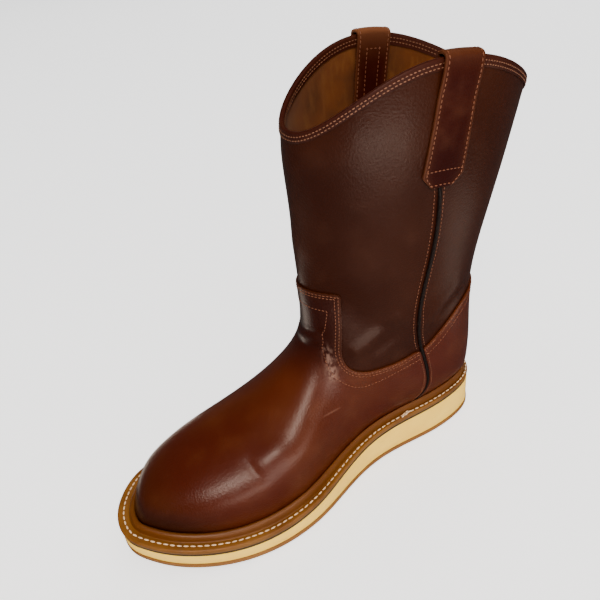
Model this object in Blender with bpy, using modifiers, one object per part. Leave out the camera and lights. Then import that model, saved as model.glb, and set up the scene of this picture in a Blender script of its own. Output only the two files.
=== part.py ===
"""Pull-on work boot for the right foot on a wedge sole.

The toe points along +X, the inner (medial) side of the foot is +Y and the floor is z = 0.
Sizes are in millimetres until a mesh is made; MM turns them into metres.
"""

import bmesh
import bpy
import numpy as np
from mathutils import Vector
from mathutils.bvhtree import BVHTree

for old in list(bpy.data.objects):
    bpy.data.objects.remove(old, do_unlink=True)

# Driving dimensions of the last
MM = 0.001
LAST_LENGTH = 288.5
BALL_WIDTH = 98.0
SHAFT_HEIGHT = 281.0

# Leather thicknesses and the clearance between neighbouring pieces
GAP = 0.3
WALL = 2.0
OVERLAY = 1.3
STRAP = 1.8
PIPING_RADIUS = 1.2

# Points closer than this are welded into one
WELD = 0.02

# Sole layers, from the floor up
TREAD = 4.0
MIDSOLE = 2.1
WELT = 2.1
INSOLE = 3.5
TOE_SPRING = 14.8
SPRING_START = 195.0
SPRING_REACH = 103.0

# How far the collar edge dips or rises from its row: at the back, at the front, and at its peak on each side.
# Pairs are medial and lateral; a peak's place is its share of the way from the back line to the front.
SCALLOP_BACK = -19.0
SCALLOP_FRONT = -14.9
SCALLOP_RISE = (18.5, 16.8)
SCALLOP_PEAK = (0.545, 0.505)
SCALLOP_CURVE = 1.2

# Plan of the feather line, where upper and welt meet:
# along in percent of the last length, medial and lateral in percent of the ball width
PLAN_COLUMNS = ("along", "medial", "lateral")
PLAN = (
    (0.0, -2.8, -2.8),
    (1.0, 8.9, -14.4),
    (4.2, 19.1, -25.5),
    (10.4, 25.4, -32.6),
    (19.1, 27.7, -35.1),
    (29.5, 26.4, -36.0),
    (39.9, 28.3, -38.0),
    (50.3, 37.1, -42.0),
    (60.7, 47.6, -47.2),
    (71.1, 50.8, -49.6),
    (80.4, 47.3, -47.4),
    (88.0, 39.6, -40.1),
    (93.9, 29.6, -30.6),
    (97.7, 19.6, -16.8),
    (99.5, 12.7, -4.8),
    (100.0, 5.1, 5.1),
)

# Sections of the upper, one row each. A section is a straight cut in side view: it starts on the feather
# line at foot (percent of the last length) or, above the heel, on the back line at height back, and ends
# on the front profile at front and top. Heights are in percent of the shaft height. Medial, lateral and
# ridge are percent of the ball width, belly is where the section is widest, and low and high are the
# powers of its lower and upper curve.
SECTION_COLUMNS = ("foot", "back", "front", "top", "medial", "lateral", "ridge", "belly", "low", "high")
SECTIONS = (
    ("toe tip", 100.0, 0, 98.6, 16.4, 5.1, 5.1, 5.1, 0.50, 2.0, 2.0),
    ("toe front", 99.5, 0, 97.4, 18.2, 13.9, -6.0, 5.1, 0.45, 2.2, 2.1),
    ("toe corner", 97.7, 0, 95.0, 19.7, 21.4, -18.6, 5.1, 0.40, 2.4, 2.2),
    ("toe cap", 93.9, 0, 90.9, 21.2, 31.8, -32.8, 5.1, 0.36, 2.4, 2.2),
    ("toe back", 88.0, 0, 85.0, 23.1, 41.8, -42.3, 5.1, 0.34, 2.4, 2.2),
    ("ball front", 80.4, 0, 77.7, 24.9, 49.4, -49.5, 4.1, 0.33, 2.4, 2.1),
    ("ball", 71.1, 0, 69.2, 27.7, 52.7, -51.4, 3.1, 0.33, 2.4, 2.0),
    ("vamp", 60.7, 0, 60.5, 32.3, 49.4, -49.3, 2.0, 0.33, 2.4, 1.9),
    ("waist front", 50.3, 0, 53.7, 37.7, 39.4, -44.5, 1.5, 0.35, 2.4, 1.9),
    ("waist", 38.1, 0, 49.5, 43.6, 32.6, -41.1, 1.0, 0.37, 2.4, 1.9),
    ("instep", 24.3, 0, 48.3, 49.9, 37.3, -40.8, 0.0, 0.38, 2.3, 1.9),
    ("heel front", 12.1, 0, 48.3, 54.8, 40.3, -40.8, -1.4, 0.39, 2.2, 1.9),
    ("heel side", 4.2, 0, 48.3, 58.3, 41.0, -40.8, -2.4, 0.40, 2.1, 1.9),
    ("heel corner", 0.9, 0, 48.3, 60.8, 41.2, -41.4, -2.7, 0.41, 2.0, 1.9),
    ("heel back", 0.0, 15.1, 48.3, 62.8, 41.6, -41.6, -2.8, 0.42, 2.0, 1.9),
    ("counter", -0.35, 18.5, 48.2, 65.7, 42.4, -42.4, -2.8, 0.43, 2.0, 1.95),
    ("counter top", -0.55, 26.7, 48.1, 69.3, 43.4, -43.4, -2.6, 0.45, 2.0, 2.0),
    ("ankle", -0.15, 37.4, 47.8, 73.8, 44.4, -44.7, -2.2, 0.47, 2.0, 2.0),
    ("lower shaft", -0.75, 51.6, 47.5, 80.5, 47.0, -47.1, -1.5, 0.48, 2.0, 2.0),
    ("middle shaft", -3.7, 67.6, 47.2, 88.1, 50.9, -50.7, -0.8, 0.49, 2.0, 2.0),
    ("upper shaft", -7.6, 83.6, 46.8, 95.0, 53.1, -52.7, -0.3, 0.50, 2.0, 2.0),
    ("collar", -11.8, 99.6, 46.3, 100.0, 53.3, -52.7, 0.0, 0.50, 2.0, 2.0),
)
SECTION_NAMES = [row[0] for row in SECTIONS]
HEEL = SECTION_NAMES.index("heel back")
ANKLE = SECTION_NAMES.index("ankle")
COLLAR = SECTION_NAMES.index("collar")

# Heights along the sole: feather line, top of the outsole, and the welt's width beyond the feather line
SOLE_COLUMNS = ("along", "feather", "outsole", "margin")
SOLE = (
    (0.0, 42.5, 30.3, 4.5),
    (38.1, 36.7, 25.9, 7.1),
    (69.3, 26.2, 15.6, 10.7),
    (81.5, 26.6, 17.2, 11.8),
    (100.0, 36.2, 26.8, 13.0),
)

# Mesh density: cuts between two table rows, points from feather line to ridge, and steps along the plan
CUTS_PER_ROW = 2
POINTS_PER_SIDE = 11
PLAN_STEPS = 900


def columns(table, names):
    """Give one array per named column of a table."""
    return dict(zip(names, np.array(table, float).T))


def spline(knots, values, at):
    """Natural cubic spline through the values at the knots."""
    knots = np.asarray(knots, float)
    values = np.asarray(values, float)
    at = np.asarray(at, float)
    step = np.diff(knots)
    slope = np.diff(values) / step
    matrix = np.eye(len(knots))
    right = np.zeros(len(knots))
    for i in range(1, len(knots) - 1):
        matrix[i, i - 1:i + 2] = step[i - 1], 2.0 * (step[i - 1] + step[i]), step[i]
        right[i] = 6.0 * (slope[i] - slope[i - 1])
    bend = np.linalg.solve(matrix, right)
    i = np.clip(np.searchsorted(knots, at) - 1, 0, len(knots) - 2)
    d = at - knots[i]
    first = slope[i] - step[i] * (2.0 * bend[i] + bend[i + 1]) / 6.0
    return values[i] + d * first + d * d * bend[i] / 2.0 + d ** 3 * (bend[i + 1] - bend[i]) / (6.0 * step[i])


def smooth_step(value):
    """Ease from 0 to 1 as the value goes from 0 to 1."""
    value = np.clip(value, 0.0, 1.0)
    return value * value * (3.0 - 2.0 * value)


def unit(vectors):
    """Vectors at length one."""
    return vectors / np.maximum(np.linalg.norm(vectors, axis=-1, keepdims=True), 1e-9)


plan = columns(PLAN, PLAN_COLUMNS)
sections = columns([row[1:] for row in SECTIONS], SECTION_COLUMNS)
sole = columns(SOLE, SOLE_COLUMNS)


def along_sole(name, x):
    """A column of the sole table at the lengthwise place x."""
    return spline(sole["along"] * LAST_LENGTH / 100.0, sole[name], x)


def floor_height(x):
    """Height of the tread's underside: flat to the ball, then the toe spring."""
    return TOE_SPRING * np.maximum((np.asarray(x) - SPRING_START) / SPRING_REACH, 0.0) ** 2


def midsole_top(x):
    """Height of the midsole's upper face."""
    return along_sole("outsole", x) + GAP + MIDSOLE


def feather_half(x):
    """Medial and lateral y of the feather line at x, from a smooth closed loop through the plan table."""
    turn = len(PLAN) - 1
    order = np.arange(-3, 2 * turn + 4)
    row = turn - np.abs(order % (2 * turn) - turn)
    medial_side = order % (2 * turn) <= turn
    run = plan["along"][row] * LAST_LENGTH / 100.0
    width = np.where(medial_side, plan["medial"][row], plan["lateral"][row]) * BALL_WIDTH / 100.0
    sides = []
    for fine in (np.linspace(0, turn, PLAN_STEPS), np.linspace(2 * turn, turn, PLAN_STEPS)):
        along = np.maximum.accumulate(spline(order, run, fine))
        sides.append(np.interp(x, along, spline(order, width, fine)))
    return sides


def section_values(stations):
    """Every size of the sections at the given stations, in millimetres."""
    knots = np.arange(len(SECTIONS))
    at = {name: spline(knots, sections[name], stations) for name in SECTION_COLUMNS}
    on_foot = stations <= HEEL
    length = LAST_LENGTH / 100.0
    height = SHAFT_HEIGHT / 100.0
    width = BALL_WIDTH / 100.0
    foot_x = np.where(on_foot, np.clip(at["foot"], 0.0, 100.0), at["foot"]) * length
    above = np.maximum(stations, HEEL)
    back_z = spline(knots[HEEL:], sections["back"][HEEL:], above) * height
    medial, lateral = feather_half(foot_x)
    return {
        "low_x": foot_x,
        "low_z": np.where(on_foot, along_sole("feather", foot_x), back_z),
        "top_x": at["front"] * length,
        "top_z": at["top"] * height,
        "ridge": at["ridge"] * width,
        "belly": at["belly"],
        "low": at["low"],
        "high": at["high"],
        "wide": (at["medial"] * width, at["lateral"] * width),
        "edge": (medial, lateral),
    }


def scallop(share, side):
    """Rise of the collar edge, share 0 at the back line and 1 at the front."""
    peak = SCALLOP_PEAK[side]
    run = np.where(share <= peak, share / peak, (1.0 - share) / (1.0 - peak))
    wave = 0.5 - 0.5 * np.cos(np.pi * run)
    rear = SCALLOP_BACK + (SCALLOP_RISE[side] - SCALLOP_BACK) * wave
    front = SCALLOP_FRONT + (SCALLOP_RISE[side] - SCALLOP_FRONT) * wave ** SCALLOP_CURVE
    return np.where(share <= peak, rear, front)


def half_surface(stations, shares, side):
    """Points of one side of the last: side 0 is medial and 1 lateral, rows are stations."""
    at = section_values(stations)
    sign = 1.0 - 2.0 * side
    ridge = at["ridge"][:, None]
    open_below = (stations > 0.0) & (stations < HEEL)
    edge = np.maximum(sign * (at["edge"][side][:, None] - ridge), 0.0) * open_below[:, None]
    wide = np.maximum(sign * (at["wide"][side][:, None] - ridge), edge)
    angle = np.where(shares <= 0.5, shares, shares - 0.5)[None, :] * np.pi
    lower = (shares <= 0.5)[None, :]
    belly = at["belly"][:, None]
    low = at["low"][:, None]
    high = at["high"][:, None]
    ratio = np.where(wide > 0.0, edge / np.maximum(wide, 1e-6), 1.0)
    drop = ratio * (1.0 - 2.0 * angle / np.pi) + (1.0 - ratio) * np.cos(angle)
    low_y = wide * np.maximum(1.0 - (1.0 - ratio ** low) * drop ** low, 0.0) ** (1.0 / low)
    high_y = wide * np.maximum(np.cos(angle), 0.0) ** (2.0 / high)
    low_t = belly * (1.0 - drop)
    high_t = belly + (1.0 - belly) * np.sin(angle) ** (2.0 / high)
    t = np.where(lower, low_t, high_t)
    y = ridge + sign * np.where(lower, low_y, high_y)
    x = at["low_x"][:, None] * (1.0 - t) + at["top_x"][:, None] * t
    z = at["low_z"][:, None] * (1.0 - t) + at["top_z"][:, None] * t
    lift = smooth_step((stations - ANKLE) / (COLLAR - ANKLE))
    return np.stack([x, y, z + lift[:, None] * scallop(shares, side)[None, :]], -1)


def last_grid(stations, shares):
    """Rows of points over the last, from the lateral edge over the ridge to the medial edge."""
    lateral = half_surface(stations, shares, 1)
    medial = half_surface(stations, shares, 0)
    return np.concatenate([lateral, medial[:, -2::-1]], axis=1)


def grid_normals(grid, stations):
    """Outward normals of the grid, shared where its two halves meet and level on the feather line."""
    faces = np.cross(grid[:-1, 1:] - grid[1:, :-1], grid[1:, 1:] - grid[:-1, :-1])
    normals = np.zeros_like(grid)
    for rows in (slice(None, -1), slice(1, None)):
        for places in (slice(None, -1), slice(1, None)):
            normals[rows, places] += faces
    normals[0] += normals[0, ::-1].copy()
    closed = stations >= HEEL
    normals[closed, 0] += normals[closed, -1]
    normals[closed, -1] = normals[closed, 0]
    for edge in (0, -1):
        normals[~closed, edge, 2] = 0.0
    return unit(normals)


def upper_form(cuts, points):
    """The last's grid, its normals, and the upper's grid, which is set in where vamp and counter cover it."""
    stations = np.linspace(0, COLLAR, COLLAR * cuts + 1)
    grid = last_grid(stations, np.linspace(0.0, 1.0, points))
    normals = grid_normals(grid, stations)
    set_in = (GAP + OVERLAY) * (1.0 - smooth_step((stations - ANKLE) / (COLLAR - 1 - ANKLE)))
    return grid, normals, grid - normals * set_in[:, None, None]


last, outward, upper_grid = upper_form(CUTS_PER_ROW, POINTS_PER_SIDE)

# The feather line as a loop of points from the toe along the medial side to the heel and back
foot_rows = HEEL * CUTS_PER_ROW + 1
feather_medial = last[:foot_rows, -1]
feather_lateral = last[:foot_rows, 0]
feather_out_medial = outward[:foot_rows, -1]
feather_out_lateral = outward[:foot_rows, 0]

boot = bpy.data.collections.new("work_boot")
cutters = bpy.data.collections.new("cutters")
bpy.context.scene.collection.children.link(boot)
bpy.context.scene.collection.children.link(cutters)
stand = bpy.data.objects.new("boot_on_floor", None)
boot.objects.link(stand)


def leather(name, colour, roughness):
    """A plain Principled material."""
    material = bpy.data.materials.new(name)
    material.use_nodes = True
    shader = material.node_tree.nodes["Principled BSDF"]
    shader.inputs["Base Color"].default_value = (*colour, 1.0)
    shader.inputs["Roughness"].default_value = roughness
    shader.inputs["Metallic"].default_value = 0.0
    return material


SHAFT_LEATHER = leather("shaft_leather", (0.034, 0.012, 0.007), 0.35)
VAMP_LEATHER = leather("vamp_leather", (0.078, 0.019, 0.006), 0.28)
PIPING_LEATHER = leather("piping_leather", (0.010, 0.007, 0.006), 0.4)
WELT_LEATHER = leather("welt_leather", (0.26, 0.11, 0.03), 0.4)
MIDSOLE_LEATHER = leather("midsole_leather", (0.24, 0.12, 0.045), 0.5)
CREAM_RUBBER = leather("cream_rubber", (0.78, 0.66, 0.42), 0.65)
TREAD_RUBBER = leather("tread_rubber", (0.30, 0.15, 0.05), 0.6)
INSOLE_LEATHER = leather("insole_leather", (0.33, 0.19, 0.09), 0.7)


def add_object(name, mesh, material, collection):
    """Link a mesh as a named object of the boot."""
    thing = bpy.data.objects.new(name, mesh)
    collection.objects.link(thing)
    if material:
        mesh.materials.append(material)
        thing.parent = stand
    mesh.shade_smooth()
    return thing


def bridge(rows, wrap_rows, wrap_points):
    """A bmesh of quads between rows of points; welding closes rows that fold up into a line."""
    rows = np.asarray(rows, float)
    count, width = rows.shape[:2]
    mesh = bmesh.new()
    points = [[mesh.verts.new(Vector(point) * MM) for point in row] for row in rows]
    for i in range(count if wrap_rows else count - 1):
        for j in range(width if wrap_points else width - 1):
            k = (i + 1) % count
            n = (j + 1) % width
            mesh.faces.new((points[i][j], points[i][n], points[k][n], points[k][j]))
    bmesh.ops.remove_doubles(mesh, verts=mesh.verts, dist=WELD * MM)
    bmesh.ops.dissolve_degenerate(mesh, edges=mesh.edges, dist=WELD * MM)
    return mesh


def to_mesh(name, source):
    """Turn a bmesh into a mesh."""
    mesh = bpy.data.meshes.new(name)
    source.to_mesh(mesh)
    source.free()
    return mesh


def closed_loft(name, rows, material, wrap_rows):
    """A solid through closed sections, with its faces turned outwards."""
    body = bridge(rows, wrap_rows, True)
    bmesh.ops.recalc_face_normals(body, faces=body.faces)
    return add_object(name, to_mesh(name, body), material, boot)


def boot_sheet(grid):
    """The open skin of the upper with a skirt that runs down inside the welt to the midsole."""
    sheet = bridge(grid, False, False)
    middle = SHAFT_HEIGHT / 2.0 * MM
    low_edges = [e for e in sheet.edges if e.is_boundary and all(v.co.z < middle for v in e.verts)]
    grown = bmesh.ops.extrude_edge_only(sheet, edges=low_edges)["geom"]
    for vert in grown:
        if isinstance(vert, bmesh.types.BMVert):
            vert.co.z = (midsole_top(vert.co.x / MM) + GAP) * MM
    bmesh.ops.recalc_face_normals(sheet, faces=sheet.faces)
    widest = max(sheet.faces, key=lambda face: face.calc_center_median().y)
    if widest.normal.y < 0.0:
        bmesh.ops.reverse_faces(sheet, faces=sheet.faces)
    bmesh.ops.triangulate(sheet, faces=sheet.faces, quad_method="SHORT_EDGE")
    return sheet


def thicken(thing, thickness, side):
    """Give an open skin its leather thickness: side -1 inwards, 1 outwards, 0 both ways."""
    wall = thing.modifiers.new("wall", "SOLIDIFY")
    wall.thickness = thickness * MM
    wall.offset = side
    wall.use_even_offset = True
    wall.use_quality_normals = True


# Upper: one hollow skin from the midsole to the collar
upper = add_object("upper", to_mesh("upper", boot_sheet(upper_grid)), SHAFT_LEATHER, boot)
thicken(upper, WALL, -1)

# Side seam in side view, from the welt to the pull strap
SEAM_COLUMNS = ("x", "z")
SEAM = (
    (66.0, 41.5),
    (61.5, 54.0),
    (62.8, 79.0),
    (67.0, 97.0),
    (71.3, 122.0),
    (70.0, 148.0),
    (64.6, 178.0),
    (62.3, 200.0),
    (62.4, 225.0),
)
seam = columns(SEAM, SEAM_COLUMNS)


def seam_x(z):
    """Lengthwise place of the side seam at a height."""
    return spline(seam["z"], seam["x"], z)


# Upper edge of the vamp with its tongue tab, from the seam forward, and of the counter, seam to back
VAMP_TOP = ((87.0, 98.5), (99.0, 97.8), (110.0, 98.0), (118.0, 100.0), (123.0, 104.5), (125.4, 112.0),
            (125.2, 122.0), (124.2, 134.0), (122.8, 148.0), (122.2, 161.8), (145.0, 164.5))
COUNTER_TOP = ((58.0, 108.6), (48.0, 116.3), (36.0, 123.3), (20.0, 128.3), (-10.0, 131.0))
VAMP_SEAM_TOP = 102.0
COUNTER_SEAM_TOP = 101.5
OUTSIDE = 60.0
SEAM_STEPS = 12


def seam_edge(top, side):
    """The edge of an overlay along the side seam, from below the welt up, clear of the piping."""
    heights = np.linspace(float(seam["z"][0]), top, SEAM_STEPS)
    slope = (seam_x(heights + 0.5) - seam_x(heights - 0.5))
    clear = side * (PIPING_RADIUS + GAP) * np.sqrt(1.0 + slope ** 2)
    edge = list(zip(seam_x(heights) + clear, heights))
    return [(edge[0][0], 0.0)] + edge


def side_cutter(name, outline):
    """A prism right through the boot over an outline drawn in side view."""
    curve = bpy.data.curves.new(name, "CURVE")
    curve.dimensions = "2D"
    curve.fill_mode = "BOTH"
    curve.extrude = BALL_WIDTH * MM
    path = curve.splines.new("POLY")
    path.points.add(len(outline) - 1)
    for point, (x, z) in zip(path.points, outline):
        point.co = (x * MM, z * MM, 0.0, 1.0)
    path.use_cyclic_u = True
    drawn = bpy.data.objects.new(name, curve)
    cutters.objects.link(drawn)
    drawn.rotation_euler = (np.pi / 2.0, 0.0, 0.0)
    bpy.context.view_layer.update()
    solid = bpy.data.meshes.new_from_object(drawn.evaluated_get(bpy.context.evaluated_depsgraph_get()))
    prism = bpy.data.objects.new(name + "_prism", solid)
    prism.matrix_world = drawn.matrix_world
    bpy.data.objects.remove(drawn)
    cutters.objects.link(prism)
    weld = bmesh.new()
    weld.from_mesh(solid)
    bmesh.ops.remove_doubles(weld, verts=weld.verts, dist=WELD * MM)
    bmesh.ops.recalc_face_normals(weld, faces=weld.faces)
    weld.to_mesh(solid)
    weld.free()
    prism.hide_render = True
    prism.display_type = "WIRE"
    return prism


def overlay(name, outline):
    """A leather overlay: a shell around the whole upper, kept only inside its side outline."""
    shell = boot_sheet(upper_grid + outward * GAP)
    piece = add_object(name, to_mesh(name, shell), VAMP_LEATHER, boot)
    thicken(piece, OVERLAY, 1)
    cut = piece.modifiers.new("outline", "BOOLEAN")
    cut.operation = "INTERSECT"
    cut.solver = "EXACT"
    cut.object = side_cutter(name + "_outline", outline)
    return piece


front = LAST_LENGTH + OUTSIDE
overlay("vamp", seam_edge(VAMP_SEAM_TOP, 1) + list(VAMP_TOP) + [(front, VAMP_TOP[-1][1]), (front, 0.0)])
overlay("counter", seam_edge(COUNTER_SEAM_TOP, -1) + list(COUNTER_TOP)
        + [(-OUTSIDE, COUNTER_TOP[-1][1]), (-OUTSIDE, 0.0)])


# A finer copy of the skin, to lay straps and piping on
FINE_CUTS = 6
FINE_POINTS = 49
skin_tree = BVHTree.FromBMesh(bridge(upper_form(FINE_CUTS, FINE_POINTS)[2], False, False))


def on_skin(x, z, side):
    """Point and outward normal of the upper's skin at a side-view place, in millimetres."""
    sign = 1.0 - 2.0 * side
    start = Vector((x, sign * 2.0 * BALL_WIDTH, z)) * MM
    place, normal, _, _ = skin_tree.ray_cast(start, Vector((0.0, -sign, 0.0)))
    return np.array(place) / MM, np.array(normal) * np.sign(normal[1] * sign)


# Piping: a round cord in each side seam, from just above the welt to the strap
PIPING_POINTS = 22
PIPING_START = 2.0


def piping(name, side):
    """The black piping of one side seam."""
    curve = bpy.data.curves.new(name, "CURVE")
    curve.dimensions = "3D"
    curve.bevel_depth = PIPING_RADIUS * MM
    curve.bevel_resolution = 1
    curve.use_fill_caps = True
    path = curve.splines.new("POLY")
    heights = np.linspace(seam["z"][0] + PIPING_START, seam["z"][-1], PIPING_POINTS)
    path.points.add(PIPING_POINTS - 1)
    for point, z in zip(path.points, heights):
        place, normal = on_skin(float(seam_x(z)), z, side)
        point.co = (*((place + normal * (GAP + PIPING_RADIUS)) * MM), 1.0)
    drawn = bpy.data.objects.new(name, curve)
    boot.objects.link(drawn)
    bpy.context.view_layer.update()
    mesh = bpy.data.meshes.new_from_object(drawn.evaluated_get(bpy.context.evaluated_depsgraph_get()))
    bpy.data.objects.remove(drawn)
    body = bmesh.new()
    body.from_mesh(mesh)
    bmesh.ops.remove_doubles(body, verts=body.verts, dist=WELD * MM)
    bmesh.ops.recalc_face_normals(body, faces=body.faces)
    body.to_mesh(mesh)
    body.free()
    mesh.name = name
    return add_object(name, mesh, PIPING_LEATHER, boot)


piping("piping_medial", 0)
piping("piping_lateral", 1)

# Collar binding: a strip folded over the collar edge, as (out, up) from the outer edge of the wall
BINDING = 0.9
BINDING_OUTER_LEG = 5.0
BINDING_INNER_LEG = 9.0
INNER_FACE = -WALL - GAP
BINDING_PROFILE = (
    (GAP, -BINDING_OUTER_LEG),
    (GAP + BINDING, -BINDING_OUTER_LEG),
    (GAP + BINDING, GAP),
    (GAP, GAP + BINDING),
    (INNER_FACE, GAP + BINDING),
    (INNER_FACE - BINDING, GAP),
    (INNER_FACE - BINDING, -BINDING_INNER_LEG),
    (INNER_FACE, -BINDING_INNER_LEG),
    (INNER_FACE, GAP),
    (GAP, GAP),
)


def collar_binding():
    """The binding strip, swept once round the collar."""
    rows = []
    for j in range(upper_grid.shape[1] - 1):
        edge = upper_grid[-1, j]
        out = outward[-1, j]
        up = unit(upper_grid[-1, j] - upper_grid[-2, j])
        rows.append([edge + out * a + up * b for a, b in BINDING_PROFILE])
    return closed_loft("collar_binding", rows, VAMP_LEATHER, True)


collar_binding()

# Pull straps: a leather loop on each side, outer leg, arch above the collar and inner leg.
# Drop is the height below the collar edge, lean how far the strap's middle lies in front of its top.
# The lateral strap sits further back than the medial one.
STRAP_WIDTH = 28.8
STRAP_TOP_WIDTH = 25.2
STRAP_TOP_X = (51.0, 42.2)
STRAP_LEAN = 0.165
STRAP_ARCH = 2.7
STRAP_OUTER_LEG = 69.0
STRAP_INNER_LEG = 45.0
STRAP_CHAMFER = 7.5
STRAP_ACROSS = 5
STRAP_ROWS = 9
ARCH_ROWS = 7
UNDER_BINDING = 16.0
STRAP_EASE = 0.4
ARCH_START = 0.6
ARCH_SQUARE = 0.7
INNER_START = 2.0
LOWEST_COLLAR_DROP = 1.5


def collar_height(x, side):
    """Height of the collar edge at a lengthwise place on one side."""
    middle = upper_grid.shape[1] // 2
    edge = upper_grid[-1, middle:][::-1] if side == 0 else upper_grid[-1, :middle + 1]
    return np.interp(x, edge[:, 0], edge[:, 2])


def strap_rows():
    """Rows of the strap as (drop, lift from the skin, width)."""
    outer = GAP + STRAP / 2.0
    outer_top = outer + GAP + BINDING + STRAP_EASE
    inner = -WALL - 2.0 * GAP - BINDING - STRAP_EASE - STRAP / 2.0
    rows = [(STRAP_OUTER_LEG, outer, STRAP_WIDTH - 2.0 * STRAP_CHAMFER)]
    for drop in np.linspace(STRAP_OUTER_LEG - STRAP_CHAMFER, ARCH_START, STRAP_ROWS):
        rise = smooth_step(1.0 - (drop - BINDING_OUTER_LEG) / UNDER_BINDING)
        width = STRAP_TOP_WIDTH + (STRAP_WIDTH - STRAP_TOP_WIDTH) * drop / STRAP_OUTER_LEG
        rows.append((drop, outer + (outer_top - outer) * rise, width))
    middle = (outer_top + inner) / 2.0
    for angle in np.linspace(0.0, np.pi, ARCH_ROWS):
        rise = ARCH_START + STRAP_ARCH * max(np.sin(angle), 0.0) ** ARCH_SQUARE
        rows.append((-rise, middle + (outer_top - middle) * np.cos(angle), STRAP_TOP_WIDTH))
    for drop in np.linspace(INNER_START, STRAP_INNER_LEG, STRAP_ROWS // 2):
        rows.append((drop, inner, STRAP_TOP_WIDTH))
    return rows


def pull_strap(name, side):
    """One pull strap, a sheet through its middle given the strap's thickness."""
    grid = []
    for drop, lift, width in strap_rows():
        row = []
        for across in np.linspace(-0.5, 0.5, STRAP_ACROSS) * width:
            x = STRAP_TOP_X[side] + STRAP_LEAN * max(drop, 0.0) + across
            collar_z = collar_height(x - STRAP_LEAN * max(drop, 0.0), side)
            place, normal = on_skin(x, collar_z - max(drop, LOWEST_COLLAR_DROP), side)
            level = unit(normal * (1.0, 1.0, 0.0))
            place[2] = collar_z - drop
            row.append(place + level * lift)
        grid.append(row)
    sheet = bridge(grid, False, False)
    bmesh.ops.recalc_face_normals(sheet, faces=sheet.faces)
    strap = add_object(name, to_mesh(name, sheet), VAMP_LEATHER, boot)
    thicken(strap, STRAP, 0)
    return strap


pull_strap("pull_strap_medial", 0)
pull_strap("pull_strap_lateral", 1)


def sole_rows(levels):
    """Closed sections from toe to heel; a level is (reach beyond the feather line, height at x)."""
    rows = []
    for i in range(foot_rows):
        lateral = []
        medial = []
        for reach, height in levels:
            for line, out, side in ((feather_lateral, feather_out_lateral, lateral),
                                    (feather_medial, feather_out_medial, medial)):
                place = line[i] + out[i] * reach(line[i][0])
                place[2] = height(place[0])
                side.append(place)
        rows.append(lateral + medial[::-1])
    return rows


def edge_at(beyond):
    """Reach of a sole layer that ends the given distance beyond the welt's edge."""
    return lambda x: along_sole("margin", x) + beyond


# Sole layers: the tread, the cream wedge with a recessed line under the midsole, and the midsole
LINE_DEPTH = 0.8
LINE_HEIGHT = 1.2
SOLE_ROUND = 0.8
TREAD_PROUD = 0.2
MIDSOLE_SET_IN = 0.2
OUTSOLE_SET_IN = 0.3

closed_loft("tread", sole_rows((
    (edge_at(-SOLE_ROUND), floor_height),
    (edge_at(TREAD_PROUD), lambda x: floor_height(x) + SOLE_ROUND),
    (edge_at(TREAD_PROUD), lambda x: floor_height(x) + TREAD),
)), TREAD_RUBBER, False)

closed_loft("outsole", sole_rows((
    (edge_at(-OUTSOLE_SET_IN), lambda x: floor_height(x) + TREAD + GAP),
    (edge_at(-OUTSOLE_SET_IN), lambda x: along_sole("outsole", x) - LINE_HEIGHT),
    (edge_at(-OUTSOLE_SET_IN - LINE_DEPTH), lambda x: along_sole("outsole", x) - LINE_HEIGHT / 2.0),
    (edge_at(-OUTSOLE_SET_IN - LINE_DEPTH), lambda x: along_sole("outsole", x)),
)), CREAM_RUBBER, False)

closed_loft("midsole", sole_rows((
    (edge_at(-MIDSOLE_SET_IN), lambda x: along_sole("outsole", x) + GAP),
    (edge_at(-MIDSOLE_SET_IN), midsole_top),
)), MIDSOLE_LEATHER, False)

closed_loft("insole", sole_rows((
    (lambda x: -2.0 * GAP - OVERLAY - WALL, lambda x: midsole_top(x) + GAP),
    (lambda x: -2.0 * GAP - OVERLAY - WALL, lambda x: midsole_top(x) + GAP + INSOLE),
)), INSOLE_LEATHER, False)

# Welt: flat outer strip, stitch groove and a raised rib against the upper.
# Across is a share of the welt's width; rise is a share of the rib's height above the flat, plus a lift.
WELT_COLUMNS = ("across", "rise", "lift")
WELT_PROFILE = (
    (0.00, 0.00, -WELT),
    (0.00, 1.00, -0.5),
    (0.08, 1.00, -0.1),
    (0.20, 0.92, 0.0),
    (0.31, 0.60, 0.0),
    (0.35, 0.22, 0.0),
    (0.41, 0.00, -0.4),
    (0.48, 0.00, 0.0),
    (0.93, 0.00, 0.0),
    (1.00, 0.00, -0.6),
    (1.00, 0.00, -WELT),
)


def welt():
    """The welt, swept once round the feather line."""
    loop = np.concatenate([feather_medial, feather_lateral[-2:0:-1]])
    out = np.concatenate([feather_out_medial, feather_out_lateral[-2:0:-1]])
    rows = []
    for place, direction in zip(loop, out):
        width = float(along_sole("margin", place[0])) - GAP
        row = []
        for across, rise, lift in WELT_PROFILE:
            point = place + direction * (GAP + across * width)
            flat = midsole_top(point[0]) + GAP + WELT
            rib = along_sole("feather", place[0]) - midsole_top(place[0]) - GAP - WELT
            point[2] = flat + rise * rib + lift
            row.append(point)
        rows.append(row)
    return closed_loft("welt", rows, WELT_LEATHER, True)


welt()


def centre_on_floor():
    """Put the middle of the boot's box over the origin, standing on the floor."""
    bpy.context.view_layer.update()
    graph = bpy.context.evaluated_depsgraph_get()
    corners = []
    for thing in boot.objects:
        if thing.type == "MESH":
            shape = thing.evaluated_get(graph)
            corners += [shape.matrix_world @ vert.co for vert in shape.data.vertices]
    corners = np.array(corners)
    low, high = corners.min(axis=0), corners.max(axis=0)
    shift = Vector((-(low[0] + high[0]) / 2.0, -(low[1] + high[1]) / 2.0, -low[2]))
    stand.location = shift
    for prism in cutters.objects:
        prism.location += shift


centre_on_floor()
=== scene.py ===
# %% [markdown]
# # A pull-on work boot
# This lesson dresses the imported model of a right-foot leather work boot. The frame gives every
# solid its place; each piece below is made finer than its solid, with its own finish, and stands
# exactly where the solid stands. The frame is loaded first.

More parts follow.
